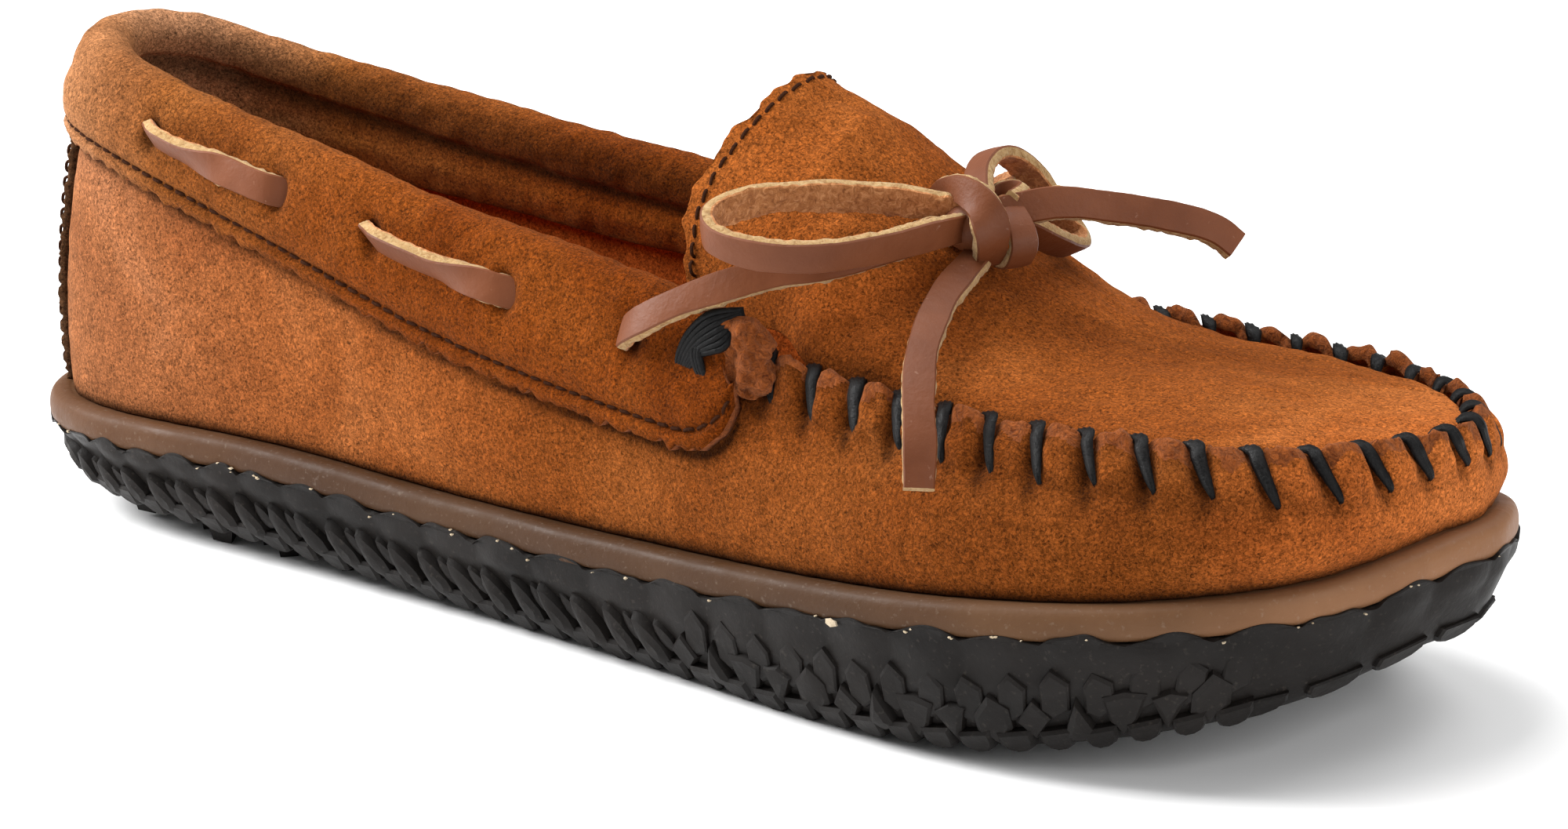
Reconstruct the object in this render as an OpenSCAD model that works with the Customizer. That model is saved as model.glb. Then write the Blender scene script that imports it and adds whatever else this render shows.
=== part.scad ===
// Moccasin with a rubber sole, right shoe, in millimetres.
// X runs from heel to toe, the outer (lateral) side is -Y, Z is up.
// The origin is under the middle of the sole, on the floor.

/* [Shoe] */
// Length of the sole from heel to toe
sole_length = 284; // [256:1:312]
// Width of the sole across the ball of the foot
sole_width = 100; // [92:1:108]
// Height of the collar at the heel above the floor
heel_height = 86; // [80:1:94]

/* [Leather] */
// Thickness of the suede of the body and the apron
suede = 1.8; // [1.5:0.1:2]
// Width of the lace, a flat leather thong
lace_width = 5; // [4:0.5:6]
// Thickness of the lace
lace_thickness = 1.8; // [1.4:0.1:2.2]
// Radius of the rolled collar
collar_roll = 5; // [4:0.5:6]

/* [Thread] */
// Width of a whip stitch of the apron seam
whip_width = 2.2; // [1.6:0.2:3]
// Length of a whip stitch
whip_length = 9; // [7:0.5:10]
// Length of a machine stitch
stitch_length = 2.6; // [2:0.2:3.4]
// Thickness of the machine thread
thread = 0.8; // [0.5:0.1:1]

/* [Hidden] */

// Scale of the nominal points to the driving dimensions
size = [sole_length / 284, sole_width / 100, heel_height / 86];

// Clearance between neighbouring layers
gap = 0.3;

// The outlines share one count: point 0 is the heel's back, points 1 to 10 run
// along the lateral side to the toe, and points 11 to 20 come back medially.
// Edge of the sole seen from above
SOLE = [
    [-142, 2], [-135, -18], [-114, -30], [-72, -33], [-32, -36], [8, -41], [48, -47.5],
    [80, -50], [108, -43], [131, -25], [140.5, 2], [140.5, 18], [130, 36], [108, 47], [78, 50],
    [48, 48], [8, 39], [-32, 32.5], [-72, 33], [-114, 32.5], [-135, 21]
];
// Height of the midsole's top, and of the lower edge of the outsole's side, from heel to toe
SOLE_TOP = [20, 20, 21, 22, 21, 22, 24.5, 27.5, 30, 33, 36];
SOLE_BOTTOM = [10, 8, 5, 3, 1.5, 1, 0.8, 3, 7.5, 13, 17];
// Upper edge of the wraparound body: the collar line, then the apron seam
RIM = [
    [-132, 2, 80.5], [-126, -12, 80], [-110, -20.5, 77.5], [-73, -25, 71.5], [-36, -28, 65],
    [4, -31, 60], [42, -33, 54], [76, -35, 52.5], [102, -34, 53], [124, -25, 52.5],
    [136, -4, 52], [136, 12, 51.5], [124, 28, 50.5], [105, 37, 50], [78, 40, 50.5],
    [44, 38, 52], [4, 35, 58.5], [-36, 31.5, 63], [-73, 29, 67.5], [-110, 24, 73.5],
    [-126, 15, 78.5]
];
// How far the side wall bulges out between the sole and its upper edge
BULGE = [3, 3, 2, 2, 2.5, 3, 4, 5, 5, 5, 2, 2, 5, 5, 5, 4, 3, 2.5, 2, 2, 3];
// Lower edge of the collar as a share of the wall's height
COLLAR_LOW = [
    0.77, 0.77, 0.76, 0.67, 0.57, 0.5, 0.5, 0.5, 0.5, 0.5, 0.5,
    0.5, 0.5, 0.5, 0.5, 0.5, 0.5, 0.57, 0.67, 0.76, 0.77
];
points = len(SOLE);
// The collar runs around the heel from this count on the medial side to the lateral one
collar_end = 5.5;

// Smooth closed curve through a list of points, u counts the points
function spline(a, b, c, d, t) =
    0.5 * (2 * b + (c - a) * t + (2 * a - 5 * b + 4 * c - d) * t * t
    + (3 * b - 3 * c + d - a) * t * t * t);
function wrap(k) = ((k % points) + points) % points;
function at(list, u) =
    let (k = floor(u), t = u - k)
    spline(list[wrap(k - 1)], list[wrap(k)], list[wrap(k + 1)], list[wrap(k + 2)], t);
function unit(v) = v / norm(v);
function fold(u) = let (w = u - points * floor(u / points)) min(w, points - w);
// Height at the count u of a list that runs from heel to toe on both sides
function profile(list, u) =
    let (w = min(fold(u), 10), k = floor(w), t = w - k, n = len(list) - 1)
    spline(list[max(k - 1, 0)], list[k], list[min(k + 1, n)], list[min(k + 2, n)], t);

function sole_xy(u) = let (p = at(SOLE, u)) [p.x * size.x, p.y * size.y];
function outward(u) =
    let (d = unit(sole_xy(u + 0.05) - sole_xy(u - 0.05))) [d.y, -d.x];
function top_z(u) = profile(SOLE_TOP, u) * size.z;
function bottom_z(u) = max(profile(SOLE_BOTTOM, u), 0) * size.z;
// Point of the sole's edge moved in by inset, at the height z
function edge(u, inset, z) = let (p = sole_xy(u) - outward(u) * inset) [p.x, p.y, z];

// The body's side wall: t is 0 at the sole and 1 at the rim
function rim(u) = let (p = at(RIM, u)) [p.x * size.x, p.y * size.y, p.z * size.z];
wall_inset = 4;
function wall(u, t) =
    let (n = outward(u), b = edge(u, wall_inset, top_z(u) + gap))
    b * (1 - t) + rim(u) * t + [n.x, n.y, 0] * at(BULGE, u) * 4 * t * (1 - t);
function wall_normal(u, t) =
    let (e = 0.03, s = min(t, 0.97))
    unit(cross(wall(u + e, s) - wall(u - e, s), wall(u, s + e) - wall(u, s - e)));
// Point of the wall moved out by off
function skin(u, t, off) = wall(u, t) + wall_normal(u, t) * off;

// --- Closed surfaces -------------------------------------------------------

function volume(p, f) =
    [for (g = f) p[g[0]] * cross(p[g[1]], p[g[2]]) / 6] * [for (g = f) 1];
function flipped(f) = [for (g = f) [g[0], g[2], g[1]]];
module solid(p, f) {
    polyhedron(points = p, faces = volume(p, f) < 0 ? f : flipped(f));
}
function quad(a, b, c, d) = [[a, b, c], [a, c, d]];
function join(lists) = [for (l = lists) for (x = l) x];

// Solid swept through loops of k points each; a ring joins its last loop to its first
module loft(loops, ring = false) {
    n = len(loops);
    k = len(loops[0]);
    sides = join([for (i = [0 : ring ? n - 1 : n - 2]) for (j = [0 : k - 1])
        quad(i * k + j, i * k + (j + 1) % k, ((i + 1) % n) * k + (j + 1) % k,
            ((i + 1) % n) * k + j)]);
    caps = ring ? [] : join([for (j = [1 : k - 2])
        [[0, j + 1, j], [(n - 1) * k, (n - 1) * k + j, (n - 1) * k + j + 1]]]);
    solid(join(loops), concat(sides, caps));
}

// Flat floor between the two sides of a ring of n points that starts at first
function floor_faces(first, n, up) =
    let (f = join([for (i = [0 : n / 2 - 1])
        let (a = first + i, b = first + i + 1, c = first + (n - i - 1) % n,
            d = first + (n - i) % n)
        i == 0 ? [[a, b, c]] : b == c ? [[a, b, d]] : quad(a, b, c, d)]))
    up ? f : flipped(f);

// Solid stack of rings of n points, closed by a floor below and above
module stack(rings) {
    n = len(rings[0]);
    m = len(rings);
    sides = join([for (j = [0 : m - 2]) for (i = [0 : n - 1])
        quad(j * n + i, j * n + (i + 1) % n, (j + 1) * n + (i + 1) % n, (j + 1) * n + i)]);
    solid(join(rings), concat(sides, floor_faces(0, n, false), floor_faces((m - 1) * n, n, true)));
}

// Sheet with thickness between two grids of points, rows of equal length
module sheet(outer, inner) {
    loops = [for (i = [0 : len(outer) - 1])
        concat(outer[i], [for (j = [len(inner[i]) - 1 : -1 : 0]) inner[i][j]])];
    n = len(loops);
    k = len(loops[0]);
    h = k / 2;
    sides = join([for (i = [0 : n - 2]) for (j = [0 : k - 1])
        quad(i * k + j, i * k + (j + 1) % k, (i + 1) * k + (j + 1) % k, (i + 1) * k + j)]);
    caps = join([for (j = [0 : h - 2]) concat(
        flipped(quad(j, j + 1, k - 2 - j, k - 1 - j)),
        quad((n - 1) * k + j, (n - 1) * k + j + 1, (n - 1) * k + k - 2 - j,
            (n - 1) * k + k - 1 - j))]);
    solid(join(loops), concat(sides, caps));
}

// Flat thong along a route; side is the direction across the thong at each point
module thong(route, across) {
    w = lace_width / 2;
    h = lace_thickness / 2;
    last = len(route) - 1;
    loft([for (i = [0 : last])
        let (
            t = unit(route[min(i + 1, last)] - route[max(i - 1, 0)]),
            a = unit(across[i] - t * (across[i] * t)),
            n = cross(t, a)
        )
        [for (c = [[-1, -0.5], [-0.8, -1], [0.8, -1], [1, -0.5],
            [1, 0.5], [0.8, 1], [-0.8, 1], [-1, 0.5]])
            route[i] + a * c.x * w + n * c.y * h]]);
}
// Smooth open route through a few points, with steps between each two
function open_route(p, steps) =
    let (n = len(p) - 1)
    concat(join([for (k = [0 : n - 1]) [for (s = [0 : steps - 1])
        spline(p[max(k - 1, 0)], p[k], p[k + 1], p[min(k + 2, n)], s / steps)]]), [p[n]]);

// A short straight stitch from a to b, lying on the surface whose normal is n
module stitch(a, b, n, width, height) {
    d = unit(b - a);
    s = unit(cross(n, d));
    m = cross(d, s);
    c = (a + b) / 2;
    multmatrix([
        [d.x, s.x, m.x, c.x], [d.y, s.y, m.y, c.y], [d.z, s.z, m.z, c.z], [0, 0, 0, 1]
    ])
        cube([norm(b - a), width, height], center = true);
}

// --- Sole unit -------------------------------------------------------------

ring_steps = 4;
ring_points = points * ring_steps;
counts = [for (i = [0 : ring_points - 1]) i / ring_steps];
midsole_height = 5;
lug_depth = 1.6;
suede_brown = [0.72, 0.38, 0.18];

// Rings of the edge that follow the sole's underside or its top
function low_ring(inset, rise) = [for (u = counts) edge(u, inset, bottom_z(u) + rise)];
function top_ring(inset, drop) = [for (u = counts) edge(u, inset, top_z(u) - drop)];
// Ring whose edge steps in and out with the lugs of the side wall
function lug_ring(inset, rise) =
    [for (i = [0 : ring_points - 1]) let (u = counts[i])
        edge(u, inset + (i % 2) * lug_depth, bottom_z(u) + rise)];

// The underside is lower than the edge of the side, and flat on the floor in the middle
floor_inset = 15;
floor_drop = 3.5;
function floor_ring() = [for (u = counts)
    edge(u, floor_inset, max(bottom_z(u) - floor_drop * size.z, 0))];
module outsole() {
    color([0.22, 0.2, 0.19])
    stack([floor_ring(), low_ring(6, 0), lug_ring(3, 3), lug_ring(0.8, 8),
        top_ring(0, midsole_height + gap)]);
}
module midsole() {
    color([0.5, 0.38, 0.28])
    stack([top_ring(0, midsole_height), top_ring(0, 1.5), top_ring(1.2, 0)]);
}

// Layers that lie on the floor of the body, under the foot
layer_inset = wall_inset + suede + 3.2;
board_base = gap + suede + gap;
board_height = 2;
foam_height = 4;
sock_height = 1;
function layer_ring(inset, rise) = [for (u = counts) edge(u, inset, top_z(u) + rise)];
module layer(inset, base, height) {
    stack([layer_ring(inset, base), layer_ring(inset, base + height)]);
}
module insole_board() {
    color([0.6, 0.5, 0.36]) layer(layer_inset, board_base, board_height);
}
foam_base = board_base + board_height + gap;
module footbed_foam() {
    color([0.85, 0.8, 0.65]) layer(layer_inset, foam_base, foam_height);
}
sock_base = foam_base + foam_height + gap;
module sock_liner() {
    color([0.66, 0.42, 0.24]) layer(layer_inset - 0.4, sock_base, sock_height);
}

// --- Body ------------------------------------------------------------------

wall_levels = 7;
module moccasin_body() {
    n = ring_points;
    m = wall_levels;
    outer = [for (j = [0 : m]) [for (u = counts) skin(u, j / m, 0)]];
    inner = [for (j = [0 : m]) [for (u = counts)
        j == 0 ? edge(u, wall_inset + suede, top_z(u) + gap + suede) : skin(u, j / m, -suede)]];
    first_inner = (m + 1) * n;
    faces = concat(
        join([for (j = [0 : m - 1]) for (i = [0 : n - 1])
            let (a = j * n + i, b = j * n + (i + 1) % n)
            concat(quad(a, b, b + n, a + n),
                flipped(quad(first_inner + a, first_inner + b, first_inner + b + n,
                    first_inner + a + n)))]),
        join([for (i = [0 : n - 1])
            let (a = m * n + i, b = m * n + (i + 1) % n)
            quad(a, b, first_inner + b, first_inner + a)]),
        floor_faces(0, n, false),
        floor_faces(first_inner, n, true));
    color(suede_brown) solid(concat(join(outer), join(inner)), faces);
}

// Patch of the wall between two counts and two heights, from off_in to off_out
module patch(u0, u1, low, high, off_in, off_out, columns, rows) {
    function grid(off) = [for (i = [0 : columns]) let (u = u0 + (u1 - u0) * i / columns)
        [for (j = [0 : rows]) skin(u, low + (high - low) * j / rows, off)]];
    sheet(grid(off_out), grid(off_in));
}
counter_thickness = 1.2;
lining_thickness = 1;
module heel_counter() {
    color([0.8, 0.75, 0.65])
    patch(-2.2, 2.2, 0.22, 0.66, -suede - gap - counter_thickness, -suede - gap, 18, 5);
}
lining_base = suede + counter_thickness + 2 * gap;
module heel_lining() {
    color([0.62, 0.36, 0.2])
    patch(-2.6, 2.6, 0.25, 0.69, -lining_base - lining_thickness, -lining_base, 22, 5);
}
strip_half = 0.78;
strip_thickness = 1.4;
module heel_strip() {
    color([0.42, 0.2, 0.12])
    patch(-strip_half, strip_half, 0.02, 0.76, gap, gap + strip_thickness, 10, 8);
}
module heel_strip_stitching() {
    rows = 12;
    off = gap + strip_thickness + thread / 2;
    color([0.25, 0.13, 0.08])
    for (u = [-0.68, 0.68]) for (j = [1 : rows]) {
        t = 0.02 + 0.7 * j / rows;
        a = skin(u, t, off);
        b = skin(u, t + 0.03, off);
        stitch(a, b, wall_normal(u, t), thread, thread);
    }
}

// --- Apron and tongue ------------------------------------------------------

// Height of the instep above the seam, against x
CROWN = [[34, 28], [42, 23.5], [50, 19], [58, 13], [70, 7], [95, 3.5], [120, 2], [136, 0.5]];
// The arch is full over the instep, and flatter towards the toe
arch_power = 0.62;
toe_power = 0.9;
arch_steps = 12;
function share(j) = (1 - cos(180 * j / arch_steps)) / 2;
function arch(s, power = arch_power) =
    let (c = 1 - pow(2 * s - 1, 2)) c <= 0 ? 0 : pow(c, power);
// Upper face of the apron between the two sides of the seam
seam_gap = 1.4;
function apron_point(u, s, drop) =
    let (l = rim(u) - concat(outward(u), 0) * seam_gap,
        w = points - u,
        r = rim(w) - concat(outward(w), 0) * seam_gap,
        p = l * (1 - s) + r * s,
        power = lookup(p.x / size.x, [[34, arch_power], [70, toe_power]]))
    [p.x, p.y, p.z + lookup(p.x / size.x, CROWN) * size.z * arch(s, power) - drop];
apron_first = 5.78;
apron_last = 10.3;
apron_rows = 18;
module apron() {
    function grid(drop) = [for (i = [0 : apron_rows])
        let (u = apron_first + (apron_last - apron_first) * i / apron_rows)
        [for (j = [0 : arch_steps]) apron_point(u, share(j), drop)]];
    color(suede_brown) sheet(grid(0), grid(suede));
}

// The tongue is an arch that leans back: q is 0 at the flex line, 1 at its free edge
TONGUE_LOW = [[31.5, -26, 57.5], [31.5, 31, 57.5]];
TONGUE_HIGH = [[11, -22.5, 58.5], [12.5, 26.5, 58.5]];
tongue_crown = [29, 35];
// How far its free edge reaches forward, against the share of its height: back over its
// sides, forward at its top
TONGUE_LEAN = [[0, 0], [0.17, -2.5], [0.42, -3.8], [0.65, -2.1], [0.84, 1.2], [0.96, 3.7], [1, 5]];
function tongue_point(q, s, off) =
    let (l = TONGUE_LOW[0] * (1 - q) + TONGUE_HIGH[0] * q,
        r = TONGUE_LOW[1] * (1 - q) + TONGUE_HIGH[1] * q,
        p = l * (1 - s) + r * s,
        h = (tongue_crown[0] * (1 - q) + tongue_crown[1] * q) * arch(s),
        k = 1 - off / 28,
        mid = (l.y + r.y) / 2)
    [(p.x + q * lookup(arch(s), TONGUE_LEAN)) * size.x,
        (mid + (p.y - mid) * k) * size.y, (p.z + h * k) * size.z];
module arch_sheet(q0, q1, off_out, off_in, rows) {
    function grid(off) = [for (i = [0 : rows]) let (q = q0 + (q1 - q0) * i / rows)
        [for (j = [0 : arch_steps]) tongue_point(q, share(j), off)]];
    sheet(grid(off_out), grid(off_in));
}
module tongue() {
    color(suede_brown) arch_sheet(0, 1, 0, suede, 6);
}
tongue_lining_thickness = 1.2;
module tongue_lining() {
    color([0.62, 0.34, 0.18])
    arch_sheet(0.25, 0.98, suede + gap, suede + gap + tongue_lining_thickness, 5);
}
module tongue_stitching() {
    count = 24;
    q = 0.88;
    off = -thread / 2;
    color([0.2, 0.1, 0.06])
    for (j = [1 : count - 1]) {
        s = share(arch_steps * j / count);
        a = tongue_point(q, s - 0.012, off);
        b = tongue_point(q, s + 0.012, off);
        out = tongue_point(q, s, -1) - tongue_point(q, s, 1);
        stitch(a, b, unit(out), thread, thread);
    }
}

// Whip stitches stand across the seam between the body and the apron, evenly spaced
whip_first = 6.03;
whip_count = 27;
function seam_gone(u0, u1, steps) = [
    for (i = 0, s = 0; i <= steps; i = i + 1,
        s = s + norm(rim(u0 + (u1 - u0) * i / steps) - rim(u0 + (u1 - u0) * (i - 1) / steps)))
        [s, u0 + (u1 - u0) * i / steps]
];
module apron_stitching() {
    gone = seam_gone(whip_first, points - whip_first, 200);
    pitch = gone[len(gone) - 1][0] / (whip_count - 1);
    color([0.1, 0.09, 0.09])
    for (i = [0 : whip_count - 1]) {
        u = lookup(pitch * i, gone);
        n = concat(outward(u), 0);
        c = rim(u) + [0, 0, 1.6] + n * 0.5;
        a = c + (n * 0.5 - [0, 0, 0.45]) * whip_length;
        b = c - (n * 0.5 - [0, 0, 0.02]) * whip_length + [0, 0, 0.8];
        stitch(a, c + [0, 0, 0.6], unit(n + [0, 0, 1]), whip_width, thread);
        stitch(b, c + [0, 0, 0.6], [0, 0, 1], whip_width, thread);
    }
}

// --- Collar ----------------------------------------------------------------

collar_sections = 66;
collar_counts = [for (i = [0 : collar_sections])
    -collar_end + 2 * collar_end * i / collar_sections];
// Room for the lace between the body and the cuff, low edge to top
CUFF_ROOM = [gap, 1.8, 2.4, 2.3];
cuff_levels = len(CUFF_ROOM) - 1;
cuff_top = 0.95;
roll_steps = 6;
inner_leg_end = 0.8;
inner_leg_off = lining_base + lining_thickness + gap;
// The cuff's lower front corners are rounded over this much of the count
corner_span = 0.35;
corner_rise = 0.26;
function cuff_low(u) =
    let (c = max(0, abs(u) - collar_end + corner_span) / corner_span)
    at(COLLAR_LOW, u) + corner_rise * (1 - sqrt(max(0, 1 - c * c)));
function cuff_height(u, j) =
    let (low = cuff_low(u)) low + (cuff_top - low) * j / cuff_levels;
function roll_point(u, angle, radius) =
    let (n = concat(outward(u), 0)) rim(u) - n * suede / 2
    + n * radius * cos(angle) + [0, 0, 1] * (radius * sin(angle) + 0.5);
// The cuff's cross-section: up the outside, over the roll, down the inside and back
function cuff(u) = concat(
    [for (j = [0 : cuff_levels]) skin(u, cuff_height(u, j), CUFF_ROOM[j] + suede)],
    [for (j = [0 : roll_steps]) roll_point(u, 180 * j / roll_steps, collar_roll)],
    [skin(u, inner_leg_end, -inner_leg_off - suede)],
    [skin(u, inner_leg_end, -inner_leg_off)],
    [for (j = [roll_steps : -1 : 0]) roll_point(u, 180 * j / roll_steps, collar_roll - suede)],
    [for (j = [cuff_levels : -1 : 0]) skin(u, cuff_height(u, j), CUFF_ROOM[j])]);
module collar() {
    color([0.7, 0.36, 0.17]) loft([for (u = collar_counts) cuff(u)]);
}
module collar_padding() {
    pad = collar_roll - suede - gap;
    color([0.85, 0.8, 0.65])
    loft([for (i = [1 : len(collar_counts) - 2]) let (u = collar_counts[i])
        [for (a = [10 : 40 : 170]) roll_point(u, a, pad) + [0, 0, gap]]]);
}
module collar_stitching() {
    count = 88;
    rise = 0.05;
    color([0.25, 0.13, 0.08])
    for (i = [0 : count - 1]) {
        u = (collar_end - 0.2) * (2 * (i + 0.5) / count - 1);
        t = cuff_low(u) + rise;
        c = skin(u, t, CUFF_ROOM[0] + suede + 1.2 * thread);
        along = unit(skin(u + 0.02, cuff_low(u + 0.02) + rise, 0)
            - skin(u - 0.02, cuff_low(u - 0.02) + rise, 0));
        stitch(c - along * stitch_length / 2, c + along * stitch_length / 2,
            wall_normal(u, t), thread, thread);
    }
}

// --- Throat ----------------------------------------------------------------

// Folded end of the puckered seam, a small upright loop of suede
module throat_tab(u) {
    foot = rim(u) + concat(outward(u), 0) * 4;
    tab_radius = 3;
    tab_height = 9;
    translate(foot - [0, 0, 6])
    hull() {
        sphere(r = tab_radius, $fn = 16);
        translate([-1, 0, tab_height]) sphere(r = tab_radius - 0.6, $fn = 16);
    }
}
module throat_tab_lateral() {
    color([0.6, 0.28, 0.13]) throat_tab(tab_count);
}
module throat_tab_medial() {
    color([0.6, 0.28, 0.13]) throat_tab(points - tab_count);
}
tab_count = 5.72;
// Threads side by side that close the throat behind the tab
module throat_threads(u) {
    strands = 5;
    thick = 1;
    color([0.1, 0.09, 0.09])
    for (i = [0 : strands - 1]) {
        c = rim(u) + concat(outward(u), 0) * 5.6 + [i * (thick + 0.2), 0, -5 - i * 0.5];
        stitch(c + [0, 0, 5], c - [0, 0, 5], [0, 1, 0], thick, thick);
    }
}
module throat_stitching_lateral() {
    throat_threads(thread_count);
}
module throat_stitching_medial() {
    throat_threads(points - thread_count);
}
thread_count = 5.62;

// --- Lace ------------------------------------------------------------------

lace_brown = [0.5, 0.3, 0.22];
hidden_off = 1.35;
slit_off = 3.4;
outer_off = 5.4;
// The lace in the cuff from the front slit to the middle of the heel: count, offset
LACE_RUN = [
    [4.78, hidden_off], [4.7, hidden_off], [4.58, hidden_off],
    [4.47, slit_off], [4.37, outer_off], [4.04, outer_off], [3.73, outer_off],
    [3.63, slit_off], [3.52, hidden_off], [3.2, hidden_off], [3.1, slit_off],
    [3, outer_off], [2.65, outer_off], [2.34, outer_off], [2.25, slit_off],
    [2.15, hidden_off], [1.6, hidden_off], [1, hidden_off], [0.5, hidden_off]
];
lace_height = 0.9;
function lace_keys() = concat(LACE_RUN, [[0, hidden_off]],
    [for (i = [len(LACE_RUN) - 1 : -1 : 0]) [-LACE_RUN[i][0], LACE_RUN[i][1]]]);
module lace_collar_run() {
    keys = open_route(lace_keys(), 2);
    color(lace_brown)
    thong([for (k = keys) skin(k[0], lace_height, k[1])],
        [for (k = keys) skin(k[0], lace_height + 0.02, k[1]) - skin(k[0], lace_height - 0.02, k[1])]);
}

// The knot lies on the instep, and every free stretch of the lace starts or ends in it
KNOT = [56, -8, 76];
module bow_knot() {
    color(lace_brown)
    translate(placed(KNOT))
    hull() for (x = [-2, 2]) translate([x, 0, 0]) sphere(r = 4.2, $fn = 24);
}
function placed(p) = [p.x * size.x, p.y * size.y, p.z * size.z];
// Free stretches: points of the route, and the direction across the thong at its
// start and at its end
STRAND_LATERAL = [
    [4, -38.5, 55], [12, -40, 59.5], [20, -38.5, 64], [28, -35.5, 67.5], [34, -32, 69.5],
    [41, -28.5, 71], [47, -21, 73], [52, -13, 75]
];
STRAND_MEDIAL = [
    [4, 42, 54], [12, 42.5, 58.5], [22, 40, 63], [32, 34, 68], [42, 24, 74], [48, 12, 76.5],
    [53, 3, 77], [56, -4, 77]
];
LOOP_LATERAL = [
    [55, -9, 78.2], [42, -15, 79.5], [31, -24, 80], [26.5, -31, 79.5], [25, -37.5, 78],
    [29, -41.5, 76.2], [37, -41, 75], [45, -36.5, 74.8], [51, -28.5, 75.4], [55, -19, 76.2],
    [56, -12, 76]
];
LOOP_MEDIAL = [
    [55, -5, 79], [51, 1, 82], [49.5, 7, 83.2], [50, 12, 82], [51.5, 16.5, 77.8],
    [53.5, 20, 72.2], [56, 21.5, 68], [58.5, 18.5, 67], [60, 12.5, 68.5], [60.5, 5.5, 71.5],
    [59, -1, 75]
];
TAIL_FRONT = [
    [58, -7, 77.2], [66, 0, 79], [73, 6, 78], [81, 12, 76.2], [86, 16, 74.2], [89, 18, 71.5]
];
TAIL_HANGING = [
    [58.5, -9.5, 71.8], [59.5, -18, 69.4], [61, -26, 66.6], [64, -35, 62], [68, -42, 56.8],
    [71.5, -46.8, 51], [73.5, -50, 45]
];
module free_thong(points_by_hand, from_across, to_across) {
    route = [for (p = open_route(points_by_hand, 2)) placed(p)];
    n = len(route) - 1;
    color(lace_brown)
    thong(route, [for (i = [0 : n]) from_across * (1 - i / n) + to_across * i / n]);
}
module lace_strand_lateral() {
    free_thong(STRAND_LATERAL, [0, 0.2, 1], [0, 0.2, 1]);
}
module lace_strand_medial() {
    free_thong(STRAND_MEDIAL, [0, -0.4, 1], [1, -0.5, 0.2]);
}
module bow_loop_lateral() {
    free_thong(LOOP_LATERAL, [0.1, -0.25, 1], [0.1, -0.25, 1]);
}
module bow_loop_medial() {
    free_thong(LOOP_MEDIAL, [1, -0.3, 0.3], [1, 0.3, 0.6]);
}
module lace_tail_front() {
    free_thong(TAIL_FRONT, [0, 0.2, 1], [0.3, 0.2, 1]);
}
module lace_tail_hanging() {
    free_thong(TAIL_HANGING, [0.8, 0.6, 0], [0.8, 0.6, 0]);
}

outsole();
midsole();
insole_board();
footbed_foam();
sock_liner();
moccasin_body();
heel_counter();
heel_lining();
heel_strip();
heel_strip_stitching();
apron();
apron_stitching();
tongue();
tongue_lining();
tongue_stitching();
collar();
collar_padding();
collar_stitching();
throat_tab_lateral();
throat_tab_medial();
throat_stitching_lateral();
throat_stitching_medial();
lace_collar_run();
lace_strand_lateral();
lace_strand_medial();
bow_knot();
bow_loop_lateral();
bow_loop_medial();
lace_tail_hanging();
lace_tail_front();
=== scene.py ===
"""Looks of a suede moccasin with a rubber sole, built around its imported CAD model."""
import math
import bpy
import numpy as np
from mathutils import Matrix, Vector


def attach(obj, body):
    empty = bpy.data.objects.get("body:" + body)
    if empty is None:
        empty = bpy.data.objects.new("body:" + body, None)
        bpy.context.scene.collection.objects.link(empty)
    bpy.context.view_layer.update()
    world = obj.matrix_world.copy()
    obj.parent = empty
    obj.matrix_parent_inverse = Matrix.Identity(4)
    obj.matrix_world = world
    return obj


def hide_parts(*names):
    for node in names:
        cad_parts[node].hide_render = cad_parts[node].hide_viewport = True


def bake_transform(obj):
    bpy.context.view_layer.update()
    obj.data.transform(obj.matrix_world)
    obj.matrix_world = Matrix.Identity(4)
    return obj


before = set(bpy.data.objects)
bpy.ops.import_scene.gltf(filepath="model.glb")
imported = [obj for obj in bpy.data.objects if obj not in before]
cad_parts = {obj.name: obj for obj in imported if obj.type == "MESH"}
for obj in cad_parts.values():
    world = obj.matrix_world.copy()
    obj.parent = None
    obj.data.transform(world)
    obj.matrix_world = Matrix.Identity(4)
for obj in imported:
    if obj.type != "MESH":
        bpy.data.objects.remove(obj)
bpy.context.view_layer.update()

MM = 0.001

# ---------------------------------------------------------------- camera and light

VIEW_AZIMUTH = math.radians(35)
VIEW_ELEVATION = math.radians(16.2)
VIEW_DISTANCE = 0.9
VIEW_TARGET = Vector((0.0328, -0.028, 0.045))
VIEW_LENS = 128.56
SENSOR_WIDTH = 36
SKY_STRENGTH = 0.36
FLOOR_HALF = 4.0
# Area lights: name, azimuth and elevation in degrees, distance and size in m, power in W
LIGHTS = [
    ("top_softbox", -80, 72, 1.3, 0.85, 17.8), ("heel_softbox", -66, 30, 0.62, 0.28, 5.5),
    ("toe_softbox", 74, 24, 1.0, 0.5, 4.2), ("back_softbox", 150, 55, 1.3, 0.8, 6.5)]
LIGHT_TARGET = Vector((0, 0, 0.04))


def camera_back(azimuth, elevation):
    """Direction from the shoe to a camera or a light."""
    return Vector((
        math.sin(azimuth) * math.cos(elevation),
        -math.cos(azimuth) * math.cos(elevation),
        math.sin(elevation)))


def aimed(name, data, azimuth, elevation, distance, target):
    """A camera or lamp at a distance from its target, turned towards it."""
    obj = bpy.data.objects.new(name, data)
    bpy.context.collection.objects.link(obj)
    back = camera_back(azimuth, elevation)
    obj.location = target + back * distance
    obj.rotation_mode = "QUATERNION"
    obj.rotation_quaternion = (-back).to_track_quat("-Z", "Y")
    return obj


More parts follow.
